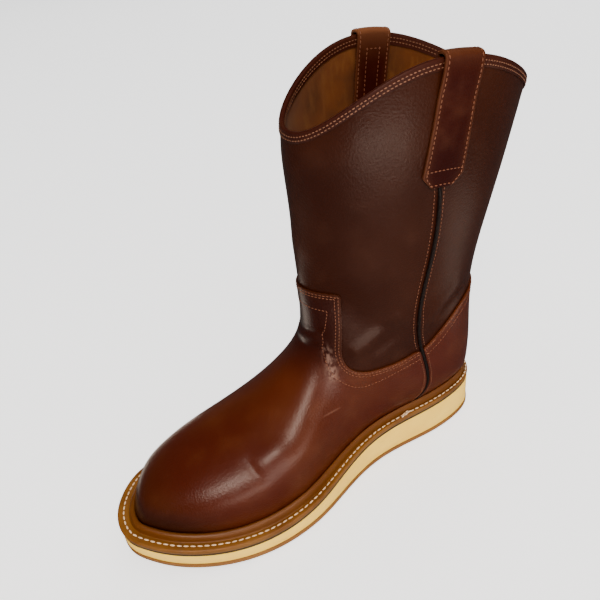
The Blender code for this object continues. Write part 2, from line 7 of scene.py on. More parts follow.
import bmesh
import bpy
import numpy as np
from mathutils import Matrix, Vector
from mathutils.bvhtree import BVHTree


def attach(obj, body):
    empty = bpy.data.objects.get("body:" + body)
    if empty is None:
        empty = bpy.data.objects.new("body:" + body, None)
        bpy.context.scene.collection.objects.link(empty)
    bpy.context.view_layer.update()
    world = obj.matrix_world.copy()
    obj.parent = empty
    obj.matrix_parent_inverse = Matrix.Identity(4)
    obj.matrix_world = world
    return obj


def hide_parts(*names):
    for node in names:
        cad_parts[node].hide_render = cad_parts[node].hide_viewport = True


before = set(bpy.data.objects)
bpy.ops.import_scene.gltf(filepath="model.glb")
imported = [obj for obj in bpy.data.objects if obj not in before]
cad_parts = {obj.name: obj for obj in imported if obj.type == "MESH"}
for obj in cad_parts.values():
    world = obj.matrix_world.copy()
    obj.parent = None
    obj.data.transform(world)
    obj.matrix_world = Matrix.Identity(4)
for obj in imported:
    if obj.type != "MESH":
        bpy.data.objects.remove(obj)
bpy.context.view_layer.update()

MM = 0.001
print("nodes", sorted(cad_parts))

# %% [markdown]
# ## The last
# A boot is pulled over a last, a wooden foot, so its shape is known as a short table of sections
# from toe to collar. It could be sculpted, but sections keep the true toe, waist, instep and heel,
# and they are the same sizes the solids were made from. Each column is in percent of the last's
# length, its ball width or the shaft's height.

# %% Sizes of the boot, in millimetres
LAST_LENGTH = 288.5
BALL_WIDTH = 98.0
SHAFT_HEIGHT = 281.0
GAP = 0.3
WALL = 2.0
OVERLAY = 1.3
STRAP = 1.8
PIPING_RADIUS = 1.2
TREAD = 4.0
MIDSOLE = 2.1
WELT = 2.1
INSOLE = 3.5
TOE_SPRING = 14.8
SPRING_START = 195.0
SPRING_REACH = 103.0
SCALLOP_BACK = -19.0
SCALLOP_FRONT = -14.9
SCALLOP_RISE = (18.5, 16.8)
SCALLOP_PEAK = (0.545, 0.505)
SCALLOP_CURVE = 1.2
HEEL_POINT = np.array((-133.21, -0.58, 0.0))

PLAN_COLUMNS = ("along", "medial", "lateral")
PLAN = (
    (0.0, -2.8, -2.8), (1.0, 8.9, -14.4), (4.2, 19.1, -25.5), (10.4, 25.4, -32.6),
    (19.1, 27.7, -35.1), (29.5, 26.4, -36.0), (39.9, 28.3, -38.0), (50.3, 37.1, -42.0),
    (60.7, 47.6, -47.2), (71.1, 50.8, -49.6), (80.4, 47.3, -47.4), (88.0, 39.6, -40.1),
    (93.9, 29.6, -30.6), (97.7, 19.6, -16.8), (99.5, 12.7, -4.8), (100.0, 5.1, 5.1),
)
SECTION_COLUMNS = ("foot", "back", "front", "top", "medial", "lateral", "ridge", "belly", "low", "high")
SECTIONS = (
    ("toe tip", 100.0, 0, 98.6, 16.4, 5.1, 5.1, 5.1, 0.50, 2.0, 2.0),
    ("toe front", 99.5, 0, 97.4, 18.2, 13.9, -6.0, 5.1, 0.45, 2.2, 2.1),
    ("toe corner", 97.7, 0, 95.0, 19.7, 21.4, -18.6, 5.1, 0.40, 2.4, 2.2),
    ("toe cap", 93.9, 0, 90.9, 21.2, 31.8, -32.8, 5.1, 0.36, 2.4, 2.2),
    ("toe back", 88.0, 0, 85.0, 23.1, 41.8, -42.3, 5.1, 0.34, 2.4, 2.2),
    ("ball front", 80.4, 0, 77.7, 24.9, 49.4, -49.5, 4.1, 0.33, 2.4, 2.1),
    ("ball", 71.1, 0, 69.2, 27.7, 52.7, -51.4, 3.1, 0.33, 2.4, 2.0),
    ("vamp", 60.7, 0, 60.5, 32.3, 49.4, -49.3, 2.0, 0.33, 2.4, 1.9),
    ("waist front", 50.3, 0, 53.7, 37.7, 39.4, -44.5, 1.5, 0.35, 2.4, 1.9),
    ("waist", 38.1, 0, 49.5, 43.6, 32.6, -41.1, 1.0, 0.37, 2.4, 1.9),
    ("instep", 24.3, 0, 48.3, 49.9, 37.3, -40.8, 0.0, 0.38, 2.3, 1.9),
    ("heel front", 12.1, 0, 48.3, 54.8, 40.3, -40.8, -1.4, 0.39, 2.2, 1.9),
    ("heel side", 4.2, 0, 48.3, 58.3, 41.0, -40.8, -2.4, 0.40, 2.1, 1.9),
    ("heel corner", 0.9, 0, 48.3, 60.8, 41.2, -41.4, -2.7, 0.41, 2.0, 1.9),
    ("heel back", 0.0, 15.1, 48.3, 62.8, 41.6, -41.6, -2.8, 0.42, 2.0, 1.9),
    ("counter", -0.35, 18.5, 48.2, 65.7, 42.4, -42.4, -2.8, 0.43, 2.0, 1.95),
    ("counter top", -0.55, 26.7, 48.1, 69.3, 43.4, -43.4, -2.6, 0.45, 2.0, 2.0),
    ("ankle", -0.15, 37.4, 47.8, 73.8, 44.4, -44.7, -2.2, 0.47, 2.0, 2.0),
    ("lower shaft", -0.75, 51.6, 47.5, 80.5, 47.0, -47.1, -1.5, 0.48, 2.0, 2.0),
    ("middle shaft", -3.7, 67.6, 47.2, 88.1, 50.9, -50.7, -0.8, 0.49, 2.0, 2.0),
    ("upper shaft", -7.6, 83.6, 46.8, 95.0, 53.1, -52.7, -0.3, 0.50, 2.0, 2.0),
    ("collar", -11.8, 99.6, 46.3, 100.0, 53.3, -52.7, 0.0, 0.50, 2.0, 2.0),
)
SECTION_NAMES = [row[0] for row in SECTIONS]
HEEL = SECTION_NAMES.index("heel back")
ANKLE = SECTION_NAMES.index("ankle")
COLLAR = SECTION_NAMES.index("collar")
SOLE_COLUMNS = ("along", "feather", "outsole", "margin")
SOLE = (
    (0.0, 42.5, 30.3, 4.5), (38.1, 36.7, 25.9, 7.1), (69.3, 26.2, 15.6, 10.7),
    (81.5, 26.6, 17.2, 11.8), (100.0, 36.2, 26.8, 13.0),
)
print("last", LAST_LENGTH, "mm long, drawn by", len(SECTIONS), "sections")

# %% [markdown]
# ## Smooth curves
# A table gives only a few places along the boot. A natural cubic spline runs smoothly through them,
# as a thin wooden strip bends round pins on a drawing board. A Blender curve could do the same, but
# a few lines of array code can be asked for the value at thousands of places at once.


# %% Curves through the tables
def columns(table, names):
    """Give one array per named column of a table."""
    return dict(zip(names, np.array(table, float).T))


def spline(knots, values, at):
    """Natural cubic spline through the values at the knots."""
    knots = np.asarray(knots, float)
    values = np.asarray(values, float)
    at = np.asarray(at, float)
    step = np.diff(knots)
    slope = np.diff(values) / step
    matrix = np.eye(len(knots))
    right = np.zeros(len(knots))
    for i in range(1, len(knots) - 1):
        matrix[i, i - 1:i + 2] = step[i - 1], 2.0 * (step[i - 1] + step[i]), step[i]
        right[i] = 6.0 * (slope[i] - slope[i - 1])
    bend = np.linalg.solve(matrix, right)
    i = np.clip(np.searchsorted(knots, at) - 1, 0, len(knots) - 2)
    d = at - knots[i]
    first = slope[i] - step[i] * (2.0 * bend[i] + bend[i + 1]) / 6.0
    third = (bend[i + 1] - bend[i]) / (6.0 * step[i])
    return values[i] + d * first + d * d * bend[i] / 2.0 + d ** 3 * third


def smooth_step(value):
    """Ease from 0 to 1 as the value goes from 0 to 1."""
    value = np.clip(value, 0.0, 1.0)
    return value * value * (3.0 - 2.0 * value)


def unit(vectors):
    """Vectors at length one."""
    return vectors / np.maximum(np.linalg.norm(vectors, axis=-1, keepdims=True), 1e-9)


plan = columns(PLAN, PLAN_COLUMNS)
sections = columns([row[1:] for row in SECTIONS], SECTION_COLUMNS)
sole = columns(SOLE, SOLE_COLUMNS)


def along_sole(name, x):
    """A column of the sole table at the lengthwise place x."""
    return spline(sole["along"] * LAST_LENGTH / 100.0, sole[name], x)


def floor_height(x):
    """Height of the tread's underside: flat to the ball, then the toe spring."""
    return TOE_SPRING * np.maximum((np.asarray(x) - SPRING_START) / SPRING_REACH, 0.0) ** 2


def midsole_top(x):
    """Height of the midsole's upper face."""
    return along_sole("outsole", x) + GAP + MIDSOLE


print("toe spring", round(float(floor_height(LAST_LENGTH)), 1), "mm under the toe's end")

# %% [markdown]
# ## From sections to a skin
# A section runs from the feather line, where upper and sole meet, over the ridge of the foot and
# back. Between the table's rows the values are splined, which gives a fine grid of points over the
# whole boot. The grid is the base of every leather panel, so panels, lining and stitch rows always
# lie on each other.

# %% The last's surface
PLAN_STEPS = 900


def feather_half(x):
    """Medial and lateral y of the feather line at x, from a smooth closed loop through the plan table."""
    turn = len(PLAN) - 1
    order = np.arange(-3, 2 * turn + 4)
    row = turn - np.abs(order % (2 * turn) - turn)
    medial_side = order % (2 * turn) <= turn
    run = plan["along"][row] * LAST_LENGTH / 100.0
    width = np.where(medial_side, plan["medial"][row], plan["lateral"][row]) * BALL_WIDTH / 100.0
    sides = []
    for fine in (np.linspace(0, turn, PLAN_STEPS), np.linspace(2 * turn, turn, PLAN_STEPS)):
        along = np.maximum.accumulate(spline(order, run, fine))
        sides.append(np.interp(x, along, spline(order, width, fine)))
    return sides


def section_values(stations):
    """Every size of the sections at the given stations, in millimetres."""
    knots = np.arange(len(SECTIONS))
    at = {name: spline(knots, sections[name], stations) for name in SECTION_COLUMNS}
    on_foot = stations <= HEEL
    length, height, width = LAST_LENGTH / 100.0, SHAFT_HEIGHT / 100.0, BALL_WIDTH / 100.0
    foot_x = np.where(on_foot, np.clip(at["foot"], 0.0, 100.0), at["foot"]) * length
    back_z = spline(knots[HEEL:], sections["back"][HEEL:], np.maximum(stations, HEEL)) * height
    return {
        "low_x": foot_x,
        "low_z": np.where(on_foot, along_sole("feather", foot_x), back_z),
        "top_x": at["front"] * length,
        "top_z": at["top"] * height,
        "ridge": at["ridge"] * width,
        "belly": at["belly"], "low": at["low"], "high": at["high"],
        "wide": (at["medial"] * width, at["lateral"] * width),
        "edge": feather_half(foot_x),
    }


def scallop(share, side):
    """Rise of the collar edge, share 0 at the back line and 1 at the front."""
    peak = SCALLOP_PEAK[side]
    run = np.where(share <= peak, share / peak, (1.0 - share) / (1.0 - peak))
    wave = 0.5 - 0.5 * np.cos(np.pi * run)
    rear = SCALLOP_BACK + (SCALLOP_RISE[side] - SCALLOP_BACK) * wave
    front = SCALLOP_FRONT + (SCALLOP_RISE[side] - SCALLOP_FRONT) * wave ** SCALLOP_CURVE
    return np.where(share <= peak, rear, front)


def half_surface(stations, shares, side):
    """Points of one side of the last: side 0 is medial and 1 lateral, rows are stations."""
    at = section_values(stations)
    sign = 1.0 - 2.0 * side
    ridge = at["ridge"][:, None]
    open_below = (stations > 0.0) & (stations < HEEL)
    edge = np.maximum(sign * (at["edge"][side][:, None] - ridge), 0.0) * open_below[:, None]
    wide = np.maximum(sign * (at["wide"][side][:, None] - ridge), edge)
    angle = np.where(shares <= 0.5, shares, shares - 0.5)[None, :] * np.pi
    lower = (shares <= 0.5)[None, :]
    belly, low, high = (at[name][:, None] for name in ("belly", "low", "high"))
    ratio = np.where(wide > 0.0, edge / np.maximum(wide, 1e-6), 1.0)
    drop = ratio * (1.0 - 2.0 * angle / np.pi) + (1.0 - ratio) * np.cos(angle)
    low_y = wide * np.maximum(1.0 - (1.0 - ratio ** low) * drop ** low, 0.0) ** (1.0 / low)
    high_y = wide * np.maximum(np.cos(angle), 0.0) ** (2.0 / high)
    t = np.where(lower, belly * (1.0 - drop), belly + (1.0 - belly) * np.sin(angle) ** (2.0 / high))
    y = ridge + sign * np.where(lower, low_y, high_y)
    x = at["low_x"][:, None] * (1.0 - t) + at["top_x"][:, None] * t
    z = at["low_z"][:, None] * (1.0 - t) + at["top_z"][:, None] * t
    lift = smooth_step((stations - ANKLE) / (COLLAR - ANKLE))
    return np.stack([x, y, z + lift[:, None] * scallop(shares, side)[None, :]], -1)


ball = section_values(np.array([float(SECTION_NAMES.index("ball"))]))["wide"]
print("last", round(float(ball[0][0] - ball[1][0]), 1), "mm wide at the ball")

# %% [markdown]
# The two halves are joined as one grid, from the lateral feather line over the ridge to the medial
# one. Each point also gets an outward direction, along which panels and stitches are laid off. At
# the back of the heel the sections turn from standing on the sole to lying round the shaft, so the
# rows are eased a little there; a Smooth modifier would shrink the toe and the collar too.


# %% Grid of the last
def grid_normals(grid, stations):
    """Outward normals of the grid, shared where its two halves meet and level on the feather line."""
    faces = np.cross(grid[:-1, 1:] - grid[1:, :-1], grid[1:, 1:] - grid[:-1, :-1])
    normals = np.zeros_like(grid)
    for rows in (slice(None, -1), slice(1, None)):
        for places in (slice(None, -1), slice(1, None)):
            normals[rows, places] += faces
    normals[0] += normals[0, ::-1].copy()
    closed = stations >= HEEL
    normals[closed, 0] += normals[closed, -1]
    normals[closed, -1] = normals[closed, 0]
    for edge in (0, -1):
        normals[~closed, edge, 2] = 0.0
    return unit(normals)


TOE_ROWS = (0.0, 0.25, 0.5, 0.75, 1.0, 1.2, 1.4, 1.6, 1.8)
SKIN_CUTS = 12
SKIN_POINTS = 81
EASE_ROUNDS = 40
EASE_REACH = 7.0
EASE_EDGE = 5.0


def eased_heel(grid, stations):
    """The grid smoothed from row to row round the back of the heel, but not at the feather line."""
    heel_row = int(np.argmin(np.abs(stations - HEEL)))
    near_heel = np.exp(-((np.arange(len(stations)) - heel_row) / EASE_REACH) ** 2)[1:-1, None]
    places = np.arange(grid.shape[1])
    from_edge = np.minimum(places, places[::-1])[None, :]
    ease = 0.5 * near_heel * smooth_step(from_edge / EASE_EDGE)
    for _ in range(EASE_ROUNDS):
        grid[1:-1] += ease[..., None] * ((grid[:-2] + grid[2:]) / 2.0 - grid[1:-1])
    return grid


stations = np.concatenate([TOE_ROWS, np.linspace(2, COLLAR, (COLLAR - 2) * SKIN_CUTS + 1)])
shares = np.linspace(0.0, 1.0, SKIN_POINTS)
lateral_half, medial_half = (half_surface(stations, shares, side) for side in (1, 0))
last = eased_heel(np.concatenate([lateral_half, medial_half[:, -2::-1]], axis=1), stations)
outward = grid_normals(last, stations)
print("last grid", last.shape)

# %% [markdown]
# ## Folds and dents
# Worn leather bends where the foot bends. The main folds are placed one by one: across the front of
# the ankle, slanting down beside it, and a shallow dent over the ball. Each is a soft trough or
# ridge along a few points on the boot. A cloth simulation would fold somewhere else; this way the
# folds lie where the real boot has them.

# %% Relief of the leather
# Each fold: height (a trough is negative), half width, and points along it, in millimetres.
FOLDS = (
    (1.8, 4.6, ((116.9, 30.7, 116.8), (106.5, 33.1, 122.7), (95.1, 35.1, 128.7), (85.6, 39.1, 136.4))),
    (1.1, 4.6, ((101.8, 35.9, 107.4), (90.6, 37.3, 112.5), (79.6, 38.8, 118.2))),
    (1.6, 7.0, ((63.4, 40.5, 127.0), (53.0, 40.4, 137.0), (38.0, 38.0, 145.0))),
    (-1.1, 6.0, ((59.0, 40.0, 116.0), (45.7, 39.4, 128.0), (28.0, 34.3, 136.0))),
    (-1.4, 3.6, ((139.0, -17.0, 126.0), (140.0, -7.0, 127.2), (139.0, 7.4, 130.6), (135.0, 14.7, 131.0))),
    (-1.0, 3.2, ((143.0, -10.0, 118.0), (144.0, 2.3, 119.2), (141.0, 10.5, 120.5), (136.4, 16.5, 120.5))),
    (0.8, 4.0, ((141.0, -13.0, 122.5), (141.8, 0.0, 123.6), (139.0, 9.5, 125.6))),
    (-0.8, 2.8, ((210.5, 34.0, 69.0), (208.4, 40.3, 62.8), (205.0, 44.5, 56.0))),
    (1.2, 8.0, ((198.6, 38.9, 67.1), (190.2, 38.2, 70.1))),
    (1.2, 16.0, ((177.3, 46.6, 60.4), (153.2, 39.5, 64.2), (131.8, 32.5, 71.1), (119.3, 31.8, 83.5))),
    (-1.5, 13.0, ((186.2, 23.2, 80.2), (169.0, 18.3, 90.7), (154.5, 13.4, 103.0), (144.9, 10.2, 114.5))),
    (1.2, 7.0, ((116.0, -30.0, 116.0), (104.0, -34.0, 124.0), (90.0, -38.0, 136.0))),
    (-1.2, 6.0, ((110.0, -33.0, 107.0), (97.0, -36.0, 115.0), (82.0, -39.0, 127.0))),
    (0.9, 7.0, ((60.0, -42.0, 128.0), (46.0, -42.0, 138.0), (32.0, -38.0, 146.0))),
)


def distance_to_path(points, path):
    """Shortest distance from each point to an open path, in as many dimensions as they have."""
    path = np.asarray(path, float)
    best = np.full(points.shape[:-1], np.inf)
    for start, end in zip(path[:-1], path[1:]):
        run = end - start
        share = np.clip(((points - start) @ run) / max(run @ run, 1e-9), 0.0, 1.0)
        best = np.minimum(best, np.linalg.norm(points - start - share[..., None] * run, axis=-1))
    return best


relief = np.zeros(last.shape[:2])
for height, half_width, path in FOLDS:
    relief += height * np.exp(-(distance_to_path(last, path) / half_width) ** 2)
set_in = (GAP + OVERLAY) * (1.0 - smooth_step((stations - ANKLE) / (COLLAR - 1 - ANKLE)))
upper_skin = last + outward * (relief - set_in[:, None])[..., None]
print("relief from", round(float(relief.min()), 2), "to", round(float(relief.max()), 2), "mm")

# %% [markdown]
# ## Shader sums
# Leather is a sum of small effects: grain, tone, wear. Writing those sums as node links is slow to
# read, so one small class wraps a socket and lets Python's operators add the Math nodes. Any other
# node comes from one method.


# %% A number in a formula
class Field:
    """A number socket that can stand in a formula."""

    def __init__(self, finish, socket):
        self.finish = finish
        self.socket = socket

    def _math(self, operation, *values):
        return self.finish.node("ShaderNodeMath", {"operation": operation}, dict(enumerate(values)))

    def __add__(self, other):
        return self._math("ADD", self, other)

    def __sub__(self, other):
        return self._math("SUBTRACT", self, other)

    def __rsub__(self, other):
        return self._math("SUBTRACT", other, self)

    def __mul__(self, other):
        return self._math("MULTIPLY", self, other)

    __radd__ = __add__
    __rmul__ = __mul__

    def between(self, low, high):
        """Ease from 0 at low to 1 at high."""
        return self.finish.node("ShaderNodeMapRange", {"interpolation_type": "SMOOTHSTEP"},
                                {"Value": self, "From Min": low, "From Max": high})


print("formulas take + - * and", Field.between.__name__)

# %% [markdown]
# A Finish holds one Principled material. Its node method adds any node: the settings first, because
# an operation or a data type can change the sockets, and then values or links. The other methods
# are short names for what leather, rubber and thread need: noise, cells, a mark read from the mesh,
# a blend of colours, the distance to a line, which paints a highlight along a small crease, and bump.


# %% A material that takes formulas
class Finish:
    """One Principled material and the nodes that feed it."""

    def __init__(self, name, **constants):
        self.material = bpy.data.materials.new(name)
        self.material.use_nodes = True
        self.tree = self.material.node_tree
        self.shader = self.tree.nodes["Principled BSDF"]
        self.place = self.node("ShaderNodeTexCoord", {}, {}, "Object")
        for name, value in constants.items():
            socket = name.replace("_", " ").title().replace("Ior", "IOR")
            self.shader.inputs[socket].default_value = value

    def node(self, kind, settings, sockets, output=0):
        """Add a node: its settings first, then the values or links of its sockets."""
        made = self.tree.nodes.new(kind)
        for name, value in settings.items():
            setattr(made, name, value)
        for name, value in sockets.items():
            if isinstance(value, Field):
                self.tree.links.new(value.socket, made.inputs[name])
            else:
                made.inputs[name].default_value = value
        return Field(self, made.outputs[output])

    def noise(self, scale, detail=2.0, stretch=(1.0, 1.0, 1.0)):
        """Soft noise on the object's own coordinates; scale is per metre."""
        where = self.node("ShaderNodeMapping", {}, {"Vector": self.place, "Scale": stretch})
        return self.node("ShaderNodeTexNoise", {}, {"Vector": where, "Scale": scale, "Detail": detail})

    def cells(self, scale, smoothness=0.6):
        """Distance from the middle of small cells, as in leather grain."""
        return self.node("ShaderNodeTexVoronoi", {"feature": "SMOOTH_F1"},
                         {"Vector": self.place, "Scale": scale, "Smoothness": smoothness}, "Distance")

    def attribute(self, name):
        """A number stored on the mesh."""
        return self.node("ShaderNodeAttribute", {"attribute_name": name}, {}, "Fac")

    def mix(self, share, first, second):
        """Blend two colours."""
        sockets = {0: share, 6: first if isinstance(first, Field) else (*first, 1.0),
                   7: second if isinstance(second, Field) else (*second, 1.0)}
        return self.node("ShaderNodeMix", {"data_type": "RGBA"}, sockets, 2)

    def distance_to(self, start, end):
        """Distance from a straight line between two points of the frame."""
        run = Vector(end) - Vector(start)
        kind = "ShaderNodeVectorMath"
        offset = self.node(kind, {"operation": "SUBTRACT"}, {0: self.place, 1: start})
        share = self.node(kind, {"operation": "DOT_PRODUCT"},
                          {0: offset, 1: run / run.length_squared}, "Value")
        within = self.node("ShaderNodeClamp", {}, {"Value": share})
        along = self.node(kind, {"operation": "SCALE"}, {0: run, "Scale": within})
        rest = self.node(kind, {"operation": "SUBTRACT"}, {0: offset, 1: along})
        return self.node(kind, {"operation": "LENGTH"}, {0: rest}, "Value")

    def feed(self, socket, value):
        """Link a varying value to the shader."""
        self.tree.links.new(value.socket, self.shader.inputs[socket])

    def bump(self, height, depth, strength=1.0):
        """Raise the surface by a height field; depth is in millimetres."""
        sockets = {"Height": height, "Distance": depth * MM, "Strength": strength}
        self.feed("Normal", self.node("ShaderNodeBump", {}, sockets, "Normal"))


print("a", Finish.__name__, "makes one material")

# %% [markdown]
# ## Leather
# The upper is oiled, polished leather: dark reddish brown, glossy, with a fine grain, slow changes
# of tone and a few paler scuffs. Colour, roughness and bump come from the same noise fields, so a
# worn place is paler and duller at once. A thin coat gives the polish. Painted light is mixed into
# the colour too: painted shade on the tab and round the toe, paler edges that are partly a painted
# highlight, and one pale line over the vamp that is a painted highlight along a small crease.


# %% Leather finishes
# A pale line over the vamp, its edge in millimetres and its colour: a painted highlight along a small
# crease.
CREASE_HIGHLIGHT = np.array(((156.0, 37.4, 78.6), (133.0, 31.9, 75.8)))
CREASE_HIGHLIGHT_EDGE = (0.2, 1.1)
CREASE_HIGHLIGHT_TONE = (0.20, 0.085, 0.05)
SCUFF_TONE = (0.30, 0.17, 0.12)
# How dark the painted shade makes the deepest tone.
PAINTED_SHADE_SHARE = 0.3


def polished_leather(name, deep, warm, pale, roughness, shine, coat):
    """Polished leather in three tones; the mesh marks paler edges, partly wear and partly a painted
    highlight, scuffs, and painted shade; a pale line is a painted highlight along a small crease.
    """
    finish = Finish(name, coat_roughness=0.2, specular_ior_level=shine)
    cloud = finish.noise(11.0, 3.0)
    patch = finish.noise(45.0, 4.0)
    tone = finish.mix(cloud.between(0.34, 0.68), deep, warm)
    tone = finish.mix(patch.between(0.5, 0.8) * 0.12, tone, pale)
    rub_and_sheen = finish.attribute("rub_and_sheen")
    scuff = finish.attribute("scuff")
    # The shade mark is painted shade: darker up the tab and low round the toe.
    tone = finish.mix(finish.attribute("painted_shade"), tone, [part * PAINTED_SHADE_SHARE for part in deep])
    # Paler edges: partly burnished wear, partly a painted highlight.
    tone = finish.mix(rub_and_sheen * 0.28, tone, pale)
    flecks = finish.noise(420.0, 2.0, (1.0, 1.0, 0.6)).between(0.38, 0.6)
    tone = finish.mix(scuff * flecks * 0.5, tone, SCUFF_TONE)
    # A thin pale line over the vamp: a painted highlight along a small crease.
    off_crease_highlight = finish.distance_to(*((CREASE_HIGHLIGHT + HEEL_POINT) * MM).tolist())
    crease_highlight = 1.0 - off_crease_highlight.between(*(edge * MM for edge in CREASE_HIGHLIGHT_EDGE))
    tone = finish.mix(crease_highlight * 0.3, tone, CREASE_HIGHLIGHT_TONE)
    finish.feed("Base Color", tone)
    finish.feed("Roughness", roughness + patch * 0.12 + scuff * 0.12)
    finish.feed("Coat Weight", coat + cloud * 0.04)
    grain = finish.cells(750.0) * 0.9 + finish.noise(1700.0, 2.0) * 0.6
    finish.bump(grain + patch * 1.2 + scuff * flecks, 0.2, 0.6)
    return finish.material


SHAFT_TONES = (0.0205, 0.0034, 0.0006), (0.029, 0.0058, 0.0012), (0.070, 0.022, 0.008)
VAMP_TONES = (0.048, 0.0050, 0.0004), (0.066, 0.0112, 0.0009), (0.140, 0.042, 0.011)
STRAP_TONES = (0.0165, 0.0008, 0.0001), (0.023, 0.0016, 0.0002), (0.155, 0.053, 0.019)
BINDING_TONES = (0.023, 0.0030, 0.0007), (0.033, 0.0055, 0.0014), (0.100, 0.036, 0.013)
shaft_leather = polished_leather("shaft_leather", *SHAFT_TONES, roughness=0.28, shine=0.20, coat=0.0)
vamp_leather = polished_leather("vamp_leather", *VAMP_TONES, roughness=0.27, shine=0.28, coat=0.02)
strap_leather = polished_leather("strap_leather", *STRAP_TONES, roughness=0.40, shine=0.08, coat=0.0)
binding_leather = polished_leather("binding_leather", *BINDING_TONES, roughness=0.42, shine=0.18,
                                   coat=0.0)
print("leathers", shaft_leather.name, vamp_leather.name, strap_leather.name, binding_leather.name)

# %% [markdown]
# The other finishes follow the same way: a tan suede lining, black piping, waxed welt leather, the
# cream rubber of the wedge with its faint pores, the brown tread, and waxed thread with a fine
# twist.


# %% Other finishes
def suede_lining():
    """Tan lining with a short nap."""
    finish = Finish("lining_suede", specular_ior_level=0.2, sheen_weight=0.08, sheen_roughness=0.5)
    cloud = finish.noise(26.0, 4.0)
    nap = finish.noise(900.0, 3.0)
    tone = finish.mix(cloud.between(0.3, 0.7), (0.044, 0.0110, 0.0012), (0.130, 0.034, 0.0028))
    brushed = finish.noise(150.0, 4.0, (1.0, 1.0, 0.35)).between(0.46, 0.74)
    tone = finish.mix(brushed * 0.3, tone, (0.21, 0.080, 0.014))
    finish.feed("Base Color", finish.mix(nap * 0.3, tone, (0.15, 0.046, 0.005)))
    finish.feed("Roughness", 0.82 + nap * 0.15)
    finish.bump(nap + cloud * 0.8, 0.25, 0.35)
    return finish.material


def black_piping():
    """Black leather cord with a satin face."""
    finish = Finish("piping_leather", specular_ior_level=0.15)
    grain = finish.noise(1500.0, 2.0)
    tone = finish.mix(grain.between(0.4, 0.8), (0.005, 0.003, 0.0025), (0.013, 0.007, 0.006))
    finish.feed("Base Color", tone)
    finish.feed("Roughness", 0.38 + grain * 0.2)
    finish.bump(grain, 0.1, 0.4)
    return finish.material


def waxed_edge(name, deep, pale, roughness, coat):
    """Vegetable-tanned strip leather, waxed, with fibres along its edge."""
    finish = Finish(name, coat_roughness=0.2, specular_ior_level=0.22)
    cloud = finish.noise(40.0, 4.0)
    fibre = finish.noise(700.0, 3.0, (0.5, 0.5, 2.2))
    dirt = finish.noise(120.0, 5.0).between(0.56, 0.78)
    tone = finish.mix(cloud.between(0.3, 0.7) * 0.7 + fibre * 0.3, deep, pale)
    tone = finish.mix(dirt * 0.5, tone, (0.09, 0.04, 0.012))
    tone = finish.mix(finish.attribute("rib") * 0.75, tone, (0.085, 0.0215, 0.0008))
    finish.feed("Base Color", tone)
    finish.feed("Roughness", roughness + fibre * 0.2)
    finish.feed("Coat Weight", coat + cloud * 0.1)
    finish.bump(fibre + dirt * 0.5, 0.12, 0.35)
    return finish.material


def moulded_rubber(name, pale, deep, mark, roughness):
    """Rubber with faint mottling, pores and a few scuffs."""
    finish = Finish(name, specular_ior_level=0.35)
    cloud = finish.noise(30.0, 5.0)
    pores = finish.cells(900.0, 0.3)
    scrape = finish.noise(60.0, 6.0, (1.0, 1.0, 4.0)).between(0.6, 0.8)
    tone = finish.mix(cloud.between(0.35, 0.7), pale, deep)
    finish.feed("Base Color", finish.mix(scrape * 0.35, tone, mark))
    finish.feed("Roughness", roughness + cloud * 0.15)
    finish.bump(pores * 0.6 + finish.noise(260.0, 3.0), 0.15, 0.25)
    return finish.material


def waxed_thread(name, pale, deep):
    """Twisted thread: stripes slant over each stitch."""
    finish = Finish(name, roughness=0.55, specular_ior_level=0.35)
    twist = finish.node("ShaderNodeTexWave", {"bands_direction": "DIAGONAL"},
                        {"Vector": finish.place, "Scale": 700.0, "Distortion": 1.5})
    finish.feed("Base Color", finish.mix(twist * 0.45 + finish.noise(300.0) * 0.3, pale, deep))
    finish.bump(twist, 0.1, 0.5)
    return finish.material


lining_suede = suede_lining()
piping_leather = black_piping()
WELT_TONES = (0.115, 0.036, 0.0030), (0.195, 0.075, 0.0100)
MIDSOLE_TONES = (0.118, 0.046, 0.0075), (0.178, 0.079, 0.0165)
welt_leather = waxed_edge("welt_leather", *WELT_TONES, roughness=0.30, coat=0.02)
midsole_leather = waxed_edge("midsole_leather", *MIDSOLE_TONES, roughness=0.5, coat=0.0)
# Colours of the dark line between wedge and midsole: a glue line, made near black to paint in the shade of
# the seam.
LINE_AND_SEAM_SHADE_TONES = (0.045, 0.024, 0.007), (0.032, 0.017, 0.005), (0.03, 0.015, 0.004)
CREAM_TONES = (0.88, 0.545, 0.060), (0.82, 0.485, 0.045), (0.60, 0.34, 0.035)
TREAD_TONES = (0.20, 0.078, 0.009), (0.15, 0.055, 0.006), (0.10, 0.037, 0.006)
line_and_seam_shade = moulded_rubber("line_and_seam_shade", *LINE_AND_SEAM_SHADE_TONES, roughness=0.6)
cream_rubber = moulded_rubber("cream_rubber", *CREAM_TONES, roughness=0.5)
tread_rubber = moulded_rubber("tread_rubber", *TREAD_TONES, roughness=0.55)
tan_thread = waxed_thread("tan_thread", (0.205, 0.068, 0.028), (0.095, 0.028, 0.011))
pale_thread = waxed_thread("pale_thread", (0.225, 0.092, 0.045), (0.105, 0.038, 0.017))
white_thread = waxed_thread("white_thread", (0.88, 0.66, 0.42), (0.60, 0.36, 0.18))
print("finishes", len(bpy.data.materials))

# %% [markdown]
# ## Cutting panels
# A clicker cuts panels out of a hide along a pattern. Here the pattern is an outline in side view,
# and a panel is the part of the skin inside it. A boolean cut would do, but clipping the grid's own
# squares is exact and quick, and it leaves clean edges.


# %% Clipping the grid
def placed(points):
    """Points of the boot, in millimetres, in the frame, in metres."""
    return (np.asarray(points, float) + HEEL_POINT) * MM


def with_skirt(grid, depth):
    """The grid with one more column at each feather edge, which hangs down inside the welt."""
    hang = np.zeros((len(stations), 3))
    hang[stations <= HEEL, 2] = -depth
    return np.concatenate([grid[:, :1] + hang[:, None], grid, grid[:, -1:] + hang[:, None]], axis=1)


def padded_field(field):
    """A field over the grid, repeated at the skirt columns."""
    return np.concatenate([field[:, :1], field, field[:, -1:]], axis=1)


